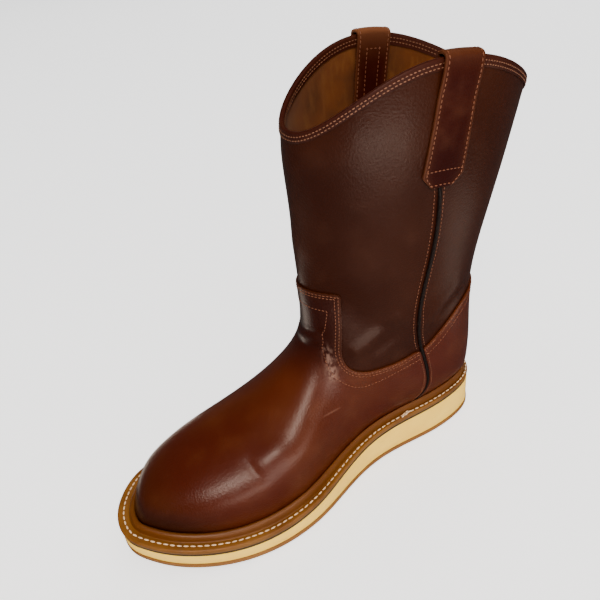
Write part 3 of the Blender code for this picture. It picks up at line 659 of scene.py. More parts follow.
def clipped(grid, field):
    """Points and faces of the part of a grid where the field is positive."""
    points = list(grid.reshape(-1, 3))
    values = list(field.ravel())
    index = np.arange(len(points)).reshape(field.shape)
    quads = np.stack([index[:-1, :-1], index[:-1, 1:], index[1:, 1:], index[1:, :-1]], -1).reshape(-1, 4)
    inside = field.ravel()[quads] >= 0.0
    faces = [tuple(quad) for quad in quads[inside.all(axis=1)]]
    cut = {}
    for quad in quads[inside.any(axis=1) & ~inside.all(axis=1)]:
        kept = []
        for a, b in zip(quad, np.roll(quad, -1)):
            if values[a] >= 0.0:
                kept.append(a)
            if (values[a] >= 0.0) != (values[b] >= 0.0):
                key = (min(a, b), max(a, b))
                if key not in cut:
                    share = values[a] / (values[a] - values[b])
                    cut[key] = len(points)
                    points.append(points[a] * (1.0 - share) + points[b] * share)
                    values.append(0.0)
                kept.append(cut[key])
        faces.append(tuple(kept))
    used = sorted({i for face in faces for i in face})
    renumber = {old: new for new, old in enumerate(used)}
    return np.array([points[i] for i in used]), [tuple(renumber[i] for i in face) for face in faces]


print("skin to cut from", upper_skin.shape[:2], "points")

# %% [markdown]
# A cut panel becomes a piece in three steps. Points that coincide are welded and the faces turned
# outwards. Solidify gives the leather its thickness, and a small Bevel rounds the cut edge. The
# result is turned into a plain mesh with no modifiers left, rides on the boot's one body, and says
# which solid it stands for.

# %% From a sheet to a piece
WELD = 0.02
SLIVER = 0.3
BEVEL_ANGLE = 50.0
SHARP_ANGLE = 48.0


def linked(name, data):
    """An object in the scene for a mesh, curve, light or camera."""
    made = bpy.data.objects.new(name, data)
    bpy.context.scene.collection.objects.link(made)
    return made


def store_marks(mesh, marks):
    """Keep numbers per point on the mesh, by name, for the material to read."""
    for mark, values in marks.items():
        stored = mesh.attributes.new(mark, "FLOAT", "POINT")
        stored.data.foreach_set("value", np.asarray(values, np.float32))


def sheet_object(name, points, faces, material, marks):
    """A welded sheet as an object, with its marks."""
    mesh = bpy.data.meshes.new(name)
    mesh.from_pydata(placed(points).tolist(), [], faces)
    store_marks(mesh, marks)
    body = bmesh.new()
    body.from_mesh(mesh)
    bmesh.ops.remove_doubles(body, verts=body.verts, dist=WELD * MM)
    rim = [vert for vert in body.verts if vert.is_boundary]
    bmesh.ops.remove_doubles(body, verts=rim, dist=SLIVER * MM)
    bmesh.ops.dissolve_degenerate(body, edges=body.edges, dist=WELD * MM)
    bmesh.ops.recalc_face_normals(body, faces=body.faces)
    middle = sum((vert.co for vert in body.verts), Vector()) / len(body.verts)
    farthest = max(body.faces, key=lambda face: abs(face.calc_center_median().y))
    from_inside = farthest.calc_center_median() - Vector((middle.x, 0.0, middle.z))
    if farthest.normal.dot(from_inside) < 0.0:
        bmesh.ops.reverse_faces(body, faces=body.faces)
    body.to_mesh(mesh)
    body.free()
    mesh.materials.append(material)
    mesh.shade_smooth()
    return linked(name, mesh)


def thicken(piece, thickness, side, bevel=0.0):
    """Give a sheet its leather thickness: side -1 inwards, 1 outwards, 0 both ways."""
    wall = piece.modifiers.new("wall", "SOLIDIFY")
    wall.thickness = thickness * MM
    wall.offset = side
    if bevel:
        edge = piece.modifiers.new("edge", "BEVEL")
        edge.width = bevel * MM
        edge.segments = 2
        edge.limit_method = "ANGLE"
        edge.angle_limit = np.radians(BEVEL_ANGLE)


def finished(piece, node):
    """Bake the modifiers, then place the piece in the frame."""
    shape = piece.evaluated_get(bpy.context.evaluated_depsgraph_get())
    mesh = bpy.data.meshes.new_from_object(shape)
    mesh.name = piece.name
    piece.modifiers.clear()
    piece.data = mesh
    mesh.shade_smooth()
    mesh.set_sharp_from_angle(angle=np.radians(SHARP_ANGLE))
    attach(piece, "root")
    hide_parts(node)
    mesh.calc_loop_triangles()
    print(piece.name, "for", node, len(mesh.loop_triangles), "triangles")
    return piece


print("points closer than", WELD, "mm are welded")

# %% [markdown]
# ## Patterns of vamp and counter
# The vamp wraps the foot and ends in a tab up the front of the ankle; the counter cups the heel.
# Both stop at the side seam, where the piping sits. Outlines are drawn in side view, as a pattern
# maker would, and the same outline serves the inner and the outer side.

# %% Pattern outlines
SEAM_COLUMNS = ("x", "z")
SEAM = ((66.0, 41.5), (61.5, 54.0), (62.8, 79.0), (67.0, 97.0), (71.3, 122.0), (70.0, 148.0),
        (64.6, 178.0), (62.3, 200.0), (62.4, 225.0))
VAMP_TOP = ((87.0, 98.5), (99.0, 97.8), (110.0, 98.0), (118.0, 100.0), (123.0, 104.5), (125.4, 112.0),
            (124.9, 122.0), (123.1, 134.0), (121.4, 148.0), (120.3, 161.8), (145.0, 164.5))
COUNTER_TOP = ((58.0, 108.6), (48.0, 116.3), (36.0, 123.3), (20.0, 128.3), (-10.0, 131.0))
VAMP_SEAM_TOP = 102.0
COUNTER_SEAM_TOP = 101.5
OUTSIDE = 60.0
SEAM_STEPS = 60
PATH_STEPS = 120
seam = columns(SEAM, SEAM_COLUMNS)


def seam_x(z):
    """Lengthwise place of the side seam at a height."""
    return spline(seam["z"], seam["x"], z)


def smooth_path(points, steps=PATH_STEPS):
    """A smooth curve through points, by their distance along the path."""
    points = np.asarray(points, float)
    run = np.concatenate([[0.0], np.cumsum(np.linalg.norm(np.diff(points, axis=0), axis=1))])
    at = np.linspace(0.0, run[-1], steps)
    return np.stack([spline(run, points[:, k], at) for k in range(points.shape[1])], -1)


def seam_edge(top, side):
    """The edge of an overlay along the side seam, from below the welt up, clear of the piping."""
    heights = np.linspace(float(seam["z"][0]), top, SEAM_STEPS)
    slope = seam_x(heights + 0.5) - seam_x(heights - 0.5)
    clear = side * (PIPING_RADIUS + GAP) * np.sqrt(1.0 + slope ** 2)
    edge = np.stack([seam_x(heights) + clear, heights], -1)
    return np.concatenate([[(edge[0, 0], 0.0)], edge])


def signed_distance(points, outline):
    """Distance in side view to a closed outline, positive inside it."""
    flat = points[..., (0, 2)]
    closed = np.concatenate([outline, outline[:1]])
    distance = distance_to_path(flat, closed)
    odd = np.zeros(flat.shape[:-1], bool)
    for (ax, az), (bx, bz) in zip(closed[:-1], closed[1:]):
        crosses = (az > flat[..., 1]) != (bz > flat[..., 1])
        reach = ax + (flat[..., 1] - az) * (bx - ax) / (bz - az if bz != az else 1.0)
        odd ^= crosses & (flat[..., 0] < reach)
    return np.where(odd, distance, -distance)


vamp_seam = seam_edge(VAMP_SEAM_TOP, 1.0)
counter_seam = seam_edge(COUNTER_SEAM_TOP, -1.0)
vamp_top = np.concatenate([smooth_path((vamp_seam[-1], *VAMP_TOP[:-1])), VAMP_TOP[-1:]])
counter_top = smooth_path((counter_seam[-1], *COUNTER_TOP))
far_front = LAST_LENGTH + OUTSIDE
vamp_front = [(far_front, VAMP_TOP[-1][1]), (far_front, 0.0)]
counter_back = [(-OUTSIDE, COUNTER_TOP[-1][1]), (-OUTSIDE, 0.0)]
vamp_outline = np.concatenate([vamp_seam, vamp_top, vamp_front])
counter_outline = np.concatenate([counter_seam, counter_top, counter_back])
vamp_field = signed_distance(upper_skin, vamp_outline)
counter_field = signed_distance(upper_skin, counter_outline)
print("vamp points", int((vamp_field > 0).sum()), "counter points", int((counter_field > 0).sum()))

# %% [markdown]
# ## The leather panels
# Shaft, vamp, counter and lining are cut from the one skin. The shaft runs a little under the
# overlays, as real panels do. Three marks are stored on the points: rub, for edges that are paler,
# partly burnished wear and partly a painted highlight on the raised edge; scuff, for the scraped
# place beside the tab; and shade, painted shade for the tab and the toe's lower edge, faces that get
# little light. Painting them by hand is possible too, but distances to the pattern's own lines keep
# them in place if the pattern is changed.

# %% Vamp, counter, shaft and lining
SKIRT = 5.0
UNDERLAP = 6.0
SHAFT_THICK = 1.0
LINING_GAP = 0.05
EDGE_BEVEL = 0.3
SCUFF_PATH = ((134.4, 19.2, 119.5), (134.3, 21.3, 112.6), (134.0, 23.4, 106.5), (134.9, 25.3, 99.8))
SCUFF_WIDTH = 3.4
# How far the paler edges reach: partly burnished wear, partly a painted highlight on the raised edge.
RUB_AND_SHEEN_WIDTH = 2.2
# Each painted shade: where it begins and where it is full, in millimetres, and how dark it gets.
TAB_PAINTED_SHADE = (92.0, 122.0, 0.85)
TOE_PAINTED_SHADE = (225.0, 272.0, 0.95)
TOE_PAINTED_SHADE_HEIGHT = 23.0
# How much the painted shade takes away the paler edge.
PAINTED_SHADE_HIDES_RUB_AND_SHEEN = 0.6


def painted_shade_amount(points):
    """Painted shade, from 0 to 1: darker up the tab, and in the crease above the welt round the toe, faces
    that get little light.
    """
    low, high, most = TAB_PAINTED_SHADE
    tab = most * smooth_step((points[:, 2] - low) / (high - low))
    low, high, most = TOE_PAINTED_SHADE
    above = points[:, 2] - along_sole("feather", np.clip(points[:, 0], 0.0, LAST_LENGTH))
    crease = np.exp(-(np.maximum(above, 0.0) / TOE_PAINTED_SHADE_HEIGHT) ** 2)
    return np.maximum(tab, most * crease * smooth_step((points[:, 0] - low) / (high - low)))


def panel(name, offset, field, material, edge_field, painted_shade=None):
    """A sheet cut from the skin where the field is positive, with its marks."""
    grid = with_skirt(upper_skin + outward * offset, SKIRT)
    points, faces = clipped(grid, padded_field(field))
    rub_and_sheen = np.exp(-np.maximum(edge_field(points), 0.0) / RUB_AND_SHEEN_WIDTH)
    scuff = np.exp(-(distance_to_path(points, SCUFF_PATH) / SCUFF_WIDTH) ** 2)
    # Painted shade on the tab and round the toe, which also dims the paler edge.
    painted_darkness = painted_shade(points) if painted_shade else rub_and_sheen * 0.0
    marks = {"rub_and_sheen": rub_and_sheen * (1.0 - PAINTED_SHADE_HIDES_RUB_AND_SHEEN * painted_darkness), "scuff": scuff, "painted_shade": painted_darkness}
    return sheet_object(name, points, faces, material, marks)


def to_top_edge(path):
    """A function for the side-view distance to an overlay's upper edge."""
    return lambda points: distance_to_path(points[..., (0, 2)], path)


def far_from_edges(points):
    """A distance too great for any paler edge, worn or painted highlight, for panels whose edges are hidden.
    """
    return np.full(len(points), OUTSIDE)


vamp = panel("vamp", GAP, vamp_field, vamp_leather, to_top_edge(vamp_top), painted_shade_amount)
thicken(vamp, OVERLAY, 1.0, EDGE_BEVEL)
finished(vamp, "vamp")
counter = panel("counter", GAP, counter_field, vamp_leather, to_top_edge(counter_top))
thicken(counter, OVERLAY, 1.0, EDGE_BEVEL)
finished(counter, "counter")
uncovered = UNDERLAP - np.maximum(vamp_field, counter_field)
shaft = panel("shaft", 0.0, uncovered, shaft_leather, far_from_edges)
thicken(shaft, SHAFT_THICK, -1.0)
finished(shaft, "upper")
lining = panel("lining", -SHAFT_THICK - LINING_GAP, np.ones(last.shape[:2]), lining_suede, far_from_edges)
thicken(lining, WALL - SHAFT_THICK - LINING_GAP, -1.0)
finished(lining, "upper")

# %% [markdown]
# ## Piping, collar binding and pull straps
# The side seams are piped with a thin black cord, the collar edge is bound with a folded strip, and
# a leather loop on each side pulls the boot on. Straps and piping are laid on the skin by casting
# rays onto it from the side, so they follow every fold below them.

# %% Piping
skin_points, skin_faces = clipped(upper_skin, np.ones(last.shape[:2]))
skin_tree = BVHTree.FromPolygons(placed(skin_points).tolist(), skin_faces)
PIPING_POINTS = 110
PIPING_START = 1.0
PIPING_TOP = 232.0
PIPING_PROUD = 0.8
PIPING_FADE = 2.0


def on_skin(x, z, side):
    """Point and outward normal of the upper's skin at a side-view place, in millimetres."""
    sign = 1.0 - 2.0 * side
    start = Vector(placed((x, sign * 2.0 * BALL_WIDTH, z)))
    place, normal, _, _ = skin_tree.ray_cast(start, Vector((0.0, -sign, 0.0)))
    return np.array(place) / MM - HEEL_POINT, np.array(normal) * np.sign(normal[1] * sign)


def piping(name, side):
    """The black piping of one side seam."""
    curve = bpy.data.curves.new(name, "CURVE")
    curve.dimensions = "3D"
    curve.bevel_depth = PIPING_RADIUS * MM
    curve.bevel_resolution = 3
    curve.use_fill_caps = True
    path = curve.splines.new("POLY")
    path.points.add(PIPING_POINTS - 1)
    seam_top = seam["z"][-1]
    heights = np.linspace(seam["z"][0] + PIPING_START, PIPING_TOP, PIPING_POINTS)
    for point, z in zip(path.points, heights):
        place, normal = on_skin(float(seam_x(min(z, seam_top))), z, side)
        sunk = smooth_step((z - seam_top + PIPING_FADE) / (PIPING_TOP - seam_top + PIPING_FADE))
        proud = PIPING_RADIUS * PIPING_PROUD * (1.0 - 2.0 * sunk)
        point.co = (*placed(place + normal * proud), 1.0)
    drawn = linked(name + "_path", curve)
    mesh = bpy.data.meshes.new_from_object(drawn.evaluated_get(bpy.context.evaluated_depsgraph_get()))
    bpy.data.objects.remove(drawn)
    body = bmesh.new()
    body.from_mesh(mesh)
    bmesh.ops.remove_doubles(body, verts=body.verts, dist=WELD * MM)
    bmesh.ops.recalc_face_normals(body, faces=body.faces)
    body.to_mesh(mesh)
    body.free()
    mesh.materials.append(piping_leather)
    return finished(linked(name, mesh), name)


piping("piping_medial", 0)
piping("piping_lateral", 1)

# %% [markdown]
# The binding is a strip folded over the raw edge of the collar. It could be a bevelled curve, but
# its profile isn't round: it is a narrow U, whose two legs lie on the outer and the inner face of
# the wall, so that profile is swept round the collar as a loft.


# %% Collar binding
def loft(name, rows, material, wrap_rows=False, marks=None):
    """A closed solid through closed sections; marks are per point of a section."""
    rows = np.asarray(rows, float)
    count, width = rows.shape[:2]
    index = np.arange(count * width).reshape(count, width)
    after = np.roll(index, -1, axis=0) if wrap_rows else index[1:]
    before = index if wrap_rows else index[:-1]
    faces = np.stack([before, np.roll(before, -1, axis=1), np.roll(after, -1, axis=1), after], -1)
    mesh = bpy.data.meshes.new(name)
    mesh.from_pydata(placed(rows.reshape(-1, 3)).tolist(), [], faces.reshape(-1, 4).tolist())
    store_marks(mesh, {mark: np.tile(values, count) for mark, values in (marks or {}).items()})
    body = bmesh.new()
    body.from_mesh(mesh)
    bmesh.ops.remove_doubles(body, verts=body.verts, dist=WELD * MM)
    bmesh.ops.dissolve_degenerate(body, edges=body.edges, dist=WELD * MM)
    bmesh.ops.recalc_face_normals(body, faces=body.faces)
    body.to_mesh(mesh)
    body.free()
    mesh.materials.append(material)
    return linked(name, mesh)


BINDING = 0.9
BINDING_OUTER_LEG = 5.2
BINDING_INNER_LEG = 6.2
BINDING_PROUD = 0.65
BINDING_CLEAR = 0.03
BINDING_SEAT = 0.05
BINDING_EDGE = (0.15, 0.25)
ROLL_STEPS = 9
ROLL_DROP = 1.5
ROLL_SQUARE = 0.7
roll_out = BINDING_PROUD
roll_in = -WALL - BINDING_PROUD
roll_middle = (roll_out + roll_in) / 2.0
roll_half = roll_out - roll_middle
inner_face = -WALL - BINDING_CLEAR
binding_profile = [
    (BINDING_CLEAR, -BINDING_OUTER_LEG), (roll_out - BINDING_EDGE[0], -BINDING_OUTER_LEG),
    (roll_out, -BINDING_OUTER_LEG + BINDING_EDGE[1]), (roll_out, -ROLL_DROP),
]
for angle in np.linspace(0.0, np.pi, ROLL_STEPS):
    rise = (GAP + BINDING) * np.sin(angle) ** ROLL_SQUARE
    binding_profile.append((roll_middle + roll_half * np.cos(angle), rise))
binding_profile += [
    (roll_in, -ROLL_DROP), (roll_in, -BINDING_INNER_LEG), (inner_face, -BINDING_INNER_LEG),
    (inner_face, BINDING_SEAT), (BINDING_CLEAR, BINDING_SEAT),
]
collar_edge = upper_skin[-1, :-1]
collar_out = outward[-1, :-1]
collar_up = unit(upper_skin[-1, :-1] - upper_skin[-4, :-1])


def at_collar(out, up):
    """The loop round the collar at a distance outside the wall and above its edge."""
    return collar_edge + collar_out * out + collar_up * up


binding_rows = np.stack([at_collar(out, up) for out, up in binding_profile], 1)
binding = loft("collar_binding", binding_rows, binding_leather, wrap_rows=True)
finished(binding, "collar_binding")

# %% [markdown]
# A pull strap is one strip: outer leg, arch over the collar, inner leg. It is modelled directly as
# a sheet with a thickness, because its corners are cut and its edges are square.

# %% Pull straps
STRAP_WIDTH = 28.8
STRAP_TOP_WIDTH = 25.2
STRAP_TOP_X = (51.0, 42.2)
STRAP_LEAN = 0.165
STRAP_ARCH = 2.7
STRAP_OUTER_LEG = 69.0
STRAP_INNER_LEG = 45.0
STRAP_CHAMFER = 7.5
STRAP_ACROSS = 13
STRAP_ROWS = 40
CHAMFER_ROWS = 4
ARCH_ROWS = 15
UNDER_BINDING = 16.0
STRAP_EASE = 0.4
ARCH_START = 0.6
ARCH_SQUARE = 0.7
INNER_START = 2.0
LOWEST_COLLAR_DROP = 1.5
# How pale the arch of each strap is painted, medial and lateral: a painted highlight from the light above.
STRAP_TOP_SHEEN = (1.4, 3.2)
STRAP_BEVEL = 0.5


def collar_height(x, side):
    """Height of the collar edge at a lengthwise place on one side."""
    middle = upper_skin.shape[1] // 2
    edge = upper_skin[-1, middle:][::-1] if side == 0 else upper_skin[-1, :middle + 1]
    return np.interp(x, edge[:, 0], edge[:, 2])


def strap_rows():
    """Rows of the strap as (drop below the collar edge, lift from the skin, width)."""
    outer = GAP + STRAP / 2.0
    outer_top = outer + GAP + BINDING + STRAP_EASE
    inner = -WALL - 2.0 * GAP - BINDING - STRAP_EASE - STRAP / 2.0
    rows = []
    for cut in np.linspace(STRAP_CHAMFER, 0.0, CHAMFER_ROWS + 1)[:-1]:
        rows.append((STRAP_OUTER_LEG - STRAP_CHAMFER + cut, outer, STRAP_WIDTH - 2.0 * cut))
    for drop in np.linspace(STRAP_OUTER_LEG - STRAP_CHAMFER, ARCH_START, STRAP_ROWS):
        rise = smooth_step(1.0 - (drop - BINDING_OUTER_LEG) / UNDER_BINDING)
        width = STRAP_TOP_WIDTH + (STRAP_WIDTH - STRAP_TOP_WIDTH) * drop / STRAP_OUTER_LEG
        rows.append((drop, outer + (outer_top - outer) * rise, width))
    middle = (outer_top + inner) / 2.0
    for angle in np.linspace(0.0, np.pi, ARCH_ROWS):
        rise = ARCH_START + STRAP_ARCH * max(np.sin(angle), 0.0) ** ARCH_SQUARE
        rows.append((-rise, middle + (outer_top - middle) * np.cos(angle), STRAP_TOP_WIDTH))
    for drop in np.linspace(INNER_START, STRAP_INNER_LEG, STRAP_ROWS // 2):
        rows.append((drop, inner, STRAP_TOP_WIDTH))
    return rows


def strap_grid(side):
    """Points through the middle of one strap's thickness, and normals of the face that shows."""
    grid = []
    for drop, lift, width in strap_rows():
        row = []
        for across in np.linspace(-0.5, 0.5, STRAP_ACROSS) * width:
            x = STRAP_TOP_X[side] + STRAP_LEAN * max(drop, 0.0) + across
            collar_z = collar_height(STRAP_TOP_X[side] + across, side)
            place, normal = on_skin(x, collar_z - max(drop, LOWEST_COLLAR_DROP), side)
            place[2] = collar_z - drop
            row.append(place + unit(normal * (1.0, 1.0, 0.0)) * lift)
        grid.append(row)
    grid = np.array(grid)
    normals = unit(np.cross(np.gradient(grid, axis=0), np.gradient(grid, axis=1)))
    if normals[CHAMFER_ROWS + 2, STRAP_ACROSS // 2, 1] * (1.0 - 2.0 * side) < 0.0:
        normals = -normals
    return grid, normals


def strap_rub_and_sheen(row_count, side):
    """Paler places of a strap, per point: along its edges, partly wear and partly a painted highlight, and
    over the arch, a painted highlight from the light above.
    """
    places = np.arange(STRAP_ACROSS)
    edge = np.minimum(places, places[::-1]) * STRAP_WIDTH / (STRAP_ACROSS - 1)
    from_arch = np.arange(row_count) - CHAMFER_ROWS - STRAP_ROWS - ARCH_ROWS / 2.0
    over = np.exp(-(from_arch / ARCH_ROWS * 2.0) ** 2)
    return np.maximum(np.exp(-edge / RUB_AND_SHEEN_WIDTH)[None, :], STRAP_TOP_SHEEN[side] * over[:, None]).ravel()


strap_sheets = {}
for side, name in enumerate(("pull_strap_medial", "pull_strap_lateral")):
    grid, normals = strap_grid(side)
    strap_sheets[name] = (grid, normals)
    points, faces = clipped(grid, np.ones(grid.shape[:2]))
    # Paler strap edges and arch: partly wear, partly a painted highlight.
    rub_and_sheen = strap_rub_and_sheen(len(grid), side)
    strap = sheet_object(name, points, faces, strap_leather, {"rub_and_sheen": rub_and_sheen, "scuff": rub_and_sheen * 0.0})
    thicken(strap, STRAP, 0.0, STRAP_BEVEL)
    finished(strap, name)

# %% [markdown]
# ## The sole
# From the floor up: a thin brown tread, the cream wedge, a dark line, the midsole, and the welt
# that everything is stitched to. All follow the feather line at their own distance, so each is a
# loft of closed sections from toe to heel. The welt is swept round the foot as one ring, with its
# rib, groove and flat edge.

# %% Feather line
foot = stations <= HEEL
feather_medial, feather_lateral = last[foot, -1], last[foot, 0]
out_medial, out_lateral = outward[foot, -1], outward[foot, 0]
feather_loop = np.concatenate([feather_medial, feather_lateral[-2:0:-1]])
feather_out = np.concatenate([out_medial, out_lateral[-2:0:-1]])


def sole_rows(levels):
    """Closed sections from toe to heel; a level is (reach beyond the feather line, height at x)."""
    rows = []
    for i in range(len(feather_medial)):
        sides = ([], [])
        for reach, height in levels:
            for side, line, out in ((0, feather_lateral, out_lateral), (1, feather_medial, out_medial)):
                place = line[i] + out[i] * reach(line[i][0])
                place[2] = height(place[0])
                sides[side].append(place)
        rows.append(sides[0] + sides[1][::-1])
    return np.array(rows)


def edge_at(beyond):
    """Reach of a sole layer that ends the given distance beyond the welt's edge."""
    return lambda x: along_sole("margin", x) + beyond


print("feather line", len(feather_loop), "points round the foot")

# %% [markdown]
# The wedge is one block of cream rubber, thick under the heel and thin under the toe, and the
# leather midsole lies on it. Their edges are trimmed together after gluing, so they run as one
# wall. An outline extruded with a modifier would be flat; sections from toe to heel let each layer
# follow the heel's rise and the toe spring. A small step at the ends of each wall rounds the
# trimmed edge. The thin dark line is a strip of its own, set back under the midsole; its near-black
# colour is partly a glue line and partly painted shade in the seam between the layers.

# %% Wedge, midsole and insole
LINE_DEPTH = 0.3
LINE_HEIGHT = 1.9
SOLE_ROUND = 0.8
TREAD_PROUD = 0.2
MIDSOLE_SET_IN = 0.2
OUTSOLE_SET_IN = 0.3
ROUND = 0.5
WEDGE_TRIM = 0.3
LINE_LAP = 0.02
MIDSOLE_TRIM = (0.4, 0.3)
INSOLE_TRIM = (0.8, 0.6)

wedge = loft("outsole", sole_rows((
    (edge_at(-OUTSOLE_SET_IN - WEDGE_TRIM), lambda x: floor_height(x) + TREAD + GAP),
    (edge_at(-OUTSOLE_SET_IN), lambda x: floor_height(x) + TREAD + GAP + ROUND),
    (edge_at(-OUTSOLE_SET_IN), lambda x: along_sole("outsole", x) - LINE_HEIGHT - ROUND),
    (edge_at(-OUTSOLE_SET_IN - WEDGE_TRIM), lambda x: along_sole("outsole", x) - LINE_HEIGHT),
    (edge_at(-OUTSOLE_SET_IN - LINE_DEPTH), lambda x: along_sole("outsole", x) - LINE_HEIGHT),
)), cream_rubber)
finished(wedge, "outsole")
line = loft("outsole_line", sole_rows((
    (edge_at(-OUTSOLE_SET_IN - LINE_DEPTH), lambda x: along_sole("outsole", x) - LINE_HEIGHT + LINE_LAP),
    (edge_at(-OUTSOLE_SET_IN - LINE_DEPTH), lambda x: along_sole("outsole", x)),
)), line_and_seam_shade)
finished(line, "outsole")
midsole = loft("midsole", sole_rows((
    (edge_at(-MIDSOLE_SET_IN - MIDSOLE_TRIM[0]), lambda x: along_sole("outsole", x) + GAP),
    (edge_at(-MIDSOLE_SET_IN), lambda x: along_sole("outsole", x) + GAP + MIDSOLE_TRIM[0]),
    (edge_at(-MIDSOLE_SET_IN), lambda x: midsole_top(x) - MIDSOLE_TRIM[1]),
    (edge_at(-MIDSOLE_SET_IN - MIDSOLE_TRIM[1]), midsole_top),
)), midsole_leather)
finished(midsole, "midsole")
inside_wall = -2.0 * GAP - OVERLAY - WALL
insole = loft("insole", sole_rows((
    (lambda x: inside_wall, lambda x: midsole_top(x) + GAP),
    (lambda x: inside_wall, lambda x: midsole_top(x) + GAP + INSOLE - INSOLE_TRIM[1]),
    (lambda x: inside_wall - INSOLE_TRIM[0], lambda x: midsole_top(x) + GAP + INSOLE),
)), lining_suede)
finished(insole, "insole")

# %% [markdown]
# The tread's underside isn't flat rubber: wedge soles of this kind carry shallow cross waves for
# grip. A bump in the material would be lost at the edge and in the exported mesh, so the waves are
# real geometry, cut up into the layer, and the tread still stands on the same plane.

# %% Tread with waves underneath
WAVE_LENGTH = 14.0
WAVE_DEPTH = 1.4
WAVE_BORDER = 9.0
WAVE_ACROSS = 31
WAVE_FADE = 3.0
WAVE_SWEEP = 0.35
WAVE_STEEP = 1.6
TREAD_TRIM = 0.4


def tread_rows():
    """Closed sections of the tread, with a wavy underside inside a plain border."""
    outline = sole_rows((
        (edge_at(-SOLE_ROUND), floor_height),
        (edge_at(TREAD_PROUD), lambda x: floor_height(x) + SOLE_ROUND),
        (edge_at(TREAD_PROUD), lambda x: floor_height(x) + TREAD - TREAD_TRIM),
        (edge_at(TREAD_PROUD - TREAD_TRIM), lambda x: floor_height(x) + TREAD),
    ))
    lateral, medial = outline[:, 0], outline[:, -1]
    share = np.linspace(1.0, 0.0, WAVE_ACROSS + 2)[None, 1:-1, None]
    under = lateral[:, None] * (1.0 - share) + medial[:, None] * share
    x, y = under[..., 0], under[..., 1]
    border = np.minimum(np.abs(y - lateral[:, None, 1]), np.abs(y - medial[:, None, 1]))
    fade = smooth_step((border - WAVE_BORDER) / WAVE_FADE)
    wave = 0.5 - 0.5 * np.cos(2.0 * np.pi * (x + WAVE_SWEEP * np.abs(y)) / WAVE_LENGTH)
    under[..., 2] = floor_height(x) + WAVE_DEPTH * fade * smooth_step(wave * WAVE_STEEP - 0.5)
    return np.concatenate([outline, under], axis=1)


tread = loft("tread", tread_rows(), tread_rubber)
finished(tread, "tread")

# %% [markdown]
# The welt is a strip of leather sewn round the upper, and the sole is stitched to it. On this boot
# its inner edge stands up as a rib against the leather, which keeps water out of the seam. A
# bevelled curve could draw it, but the strip is wider at the toe than at the heel, so one profile
# is given in shares of its width and swept along the feather line.

# %% Welt
RIB_END = 0.4
# Each corner: share of the welt's width, share of the rib's height, and a lift in millimetres.
WELT_PROFILE = (
    (0.00, 0.00, -WELT), (0.00, 1.00, -0.7), (0.04, 1.00, -0.2), (0.09, 1.00, -0.05), (0.15, 0.97, 0.0),
    (0.21, 0.88, 0.0), (0.27, 0.72, 0.0), (0.32, 0.48, 0.0), (0.35, 0.20, 0.0), (0.38, 0.02, -0.2),
    (0.42, 0.00, -0.5), (0.46, 0.00, -0.45), (0.50, 0.00, -0.1), (0.54, 0.00, 0.0), (0.90, 0.00, 0.0),
    (0.96, 0.00, -0.15), (1.00, 0.00, -0.7), (1.00, 0.00, -WELT),
)


def on_welt(across, rise, lift):
    """The loop round the boot at a share of the welt's width and of its rib's height."""
    width = along_sole("margin", feather_loop[:, 0]) - GAP
    loop = feather_loop + feather_out * (GAP + across * width)[:, None]
    flat = midsole_top(loop[:, 0]) + GAP + WELT
    rib = along_sole("feather", feather_loop[:, 0]) - midsole_top(feather_loop[:, 0]) - GAP - WELT
    loop[:, 2] = flat + rise * rib + lift
    return loop


on_rib = [float(across < RIB_END) for across, _, _ in WELT_PROFILE]
welt_rows = np.stack([on_welt(*row) for row in WELT_PROFILE], 1)
welt = loft("welt", welt_rows, welt_leather, wrap_rows=True, marks={"rib": on_rib})
finished(welt, "welt")

# %% [markdown]
# ## Stitches
# Every seam shows its thread. A stitch row is a line on the leather at a fixed distance from an
# edge, so the rows are found as contour lines of the same distance fields that cut the panels.
# Geometry Nodes then walk along each row and set one small bead of thread per stitch, turned along
# the row and flat on the leather.

# %% Rows as contour lines
SHORTEST_CHAIN = 3


def contour(grid, field, level, keep):
    """Paths on a grid where the field crosses a level, each as (points, normals)."""
    value = (field - level).ravel()
    index = np.arange(value.size).reshape(field.shape)
    quads = np.stack([index[:-1, :-1], index[:-1, 1:], index[1:, 1:], index[1:, :-1]], -1).reshape(-1, 4)
    inside = value[quads] >= 0.0
    flat, normal = grid.reshape(-1, 3), outward.reshape(-1, 3)
    crossing, places, links = {}, [], {}
    for quad in quads[inside.any(axis=1) & ~inside.all(axis=1)]:
        hits = []
        for a, b in zip(quad, np.roll(quad, -1)):
            if (value[a] >= 0.0) != (value[b] >= 0.0):
                key = (min(a, b), max(a, b))
                if key not in crossing:
                    share = value[a] / (value[a] - value[b])
                    crossing[key] = len(places)
                    places.append((flat[a] * (1 - share) + flat[b] * share,
                                   normal[a] * (1 - share) + normal[b] * share))
                hits.append(crossing[key])
        for a, b in zip(hits[::2], hits[1::2]):
            links.setdefault(a, []).append(b)
            links.setdefault(b, []).append(a)
    kept = {i for i in links if keep(places[i][0])}
    links = {i: [n for n in links[i] if n in kept] for i in kept}
    paths = []
    for start in sorted(links, key=lambda i: len(links[i])):
        if start not in kept:
            continue
        chain = [start]
        kept.discard(start)
        while True:
            onward = [n for n in links[chain[-1]] if n in kept]
            if not onward:
                break
            chain.append(onward[0])
            kept.discard(onward[0])
        if len(chain) > SHORTEST_CHAIN:
            line, facing = (np.array([places[i][k] for i in chain]) for k in (0, 1))
            paths.append((line, unit(facing)))
    return paths


overlay_face = upper_skin + outward * (GAP + OVERLAY)
print("rows are sought on a grid of", overlay_face.shape[:2], "points")

# %% [markdown]
# A machine stitch shows as a short bead of thread, a hole, and the next bead. An Array modifier
# along a curve could repeat one bead, but it wouldn't lie flat on leather that turns. So a Geometry
# Nodes tree resamples each row at the pitch of the stitches, sets a small squashed sphere on every
# point, and turns it along the row and out of the leather. A slight slant from a fixed seed differs
# from stitch to stitch, as in real sewing.


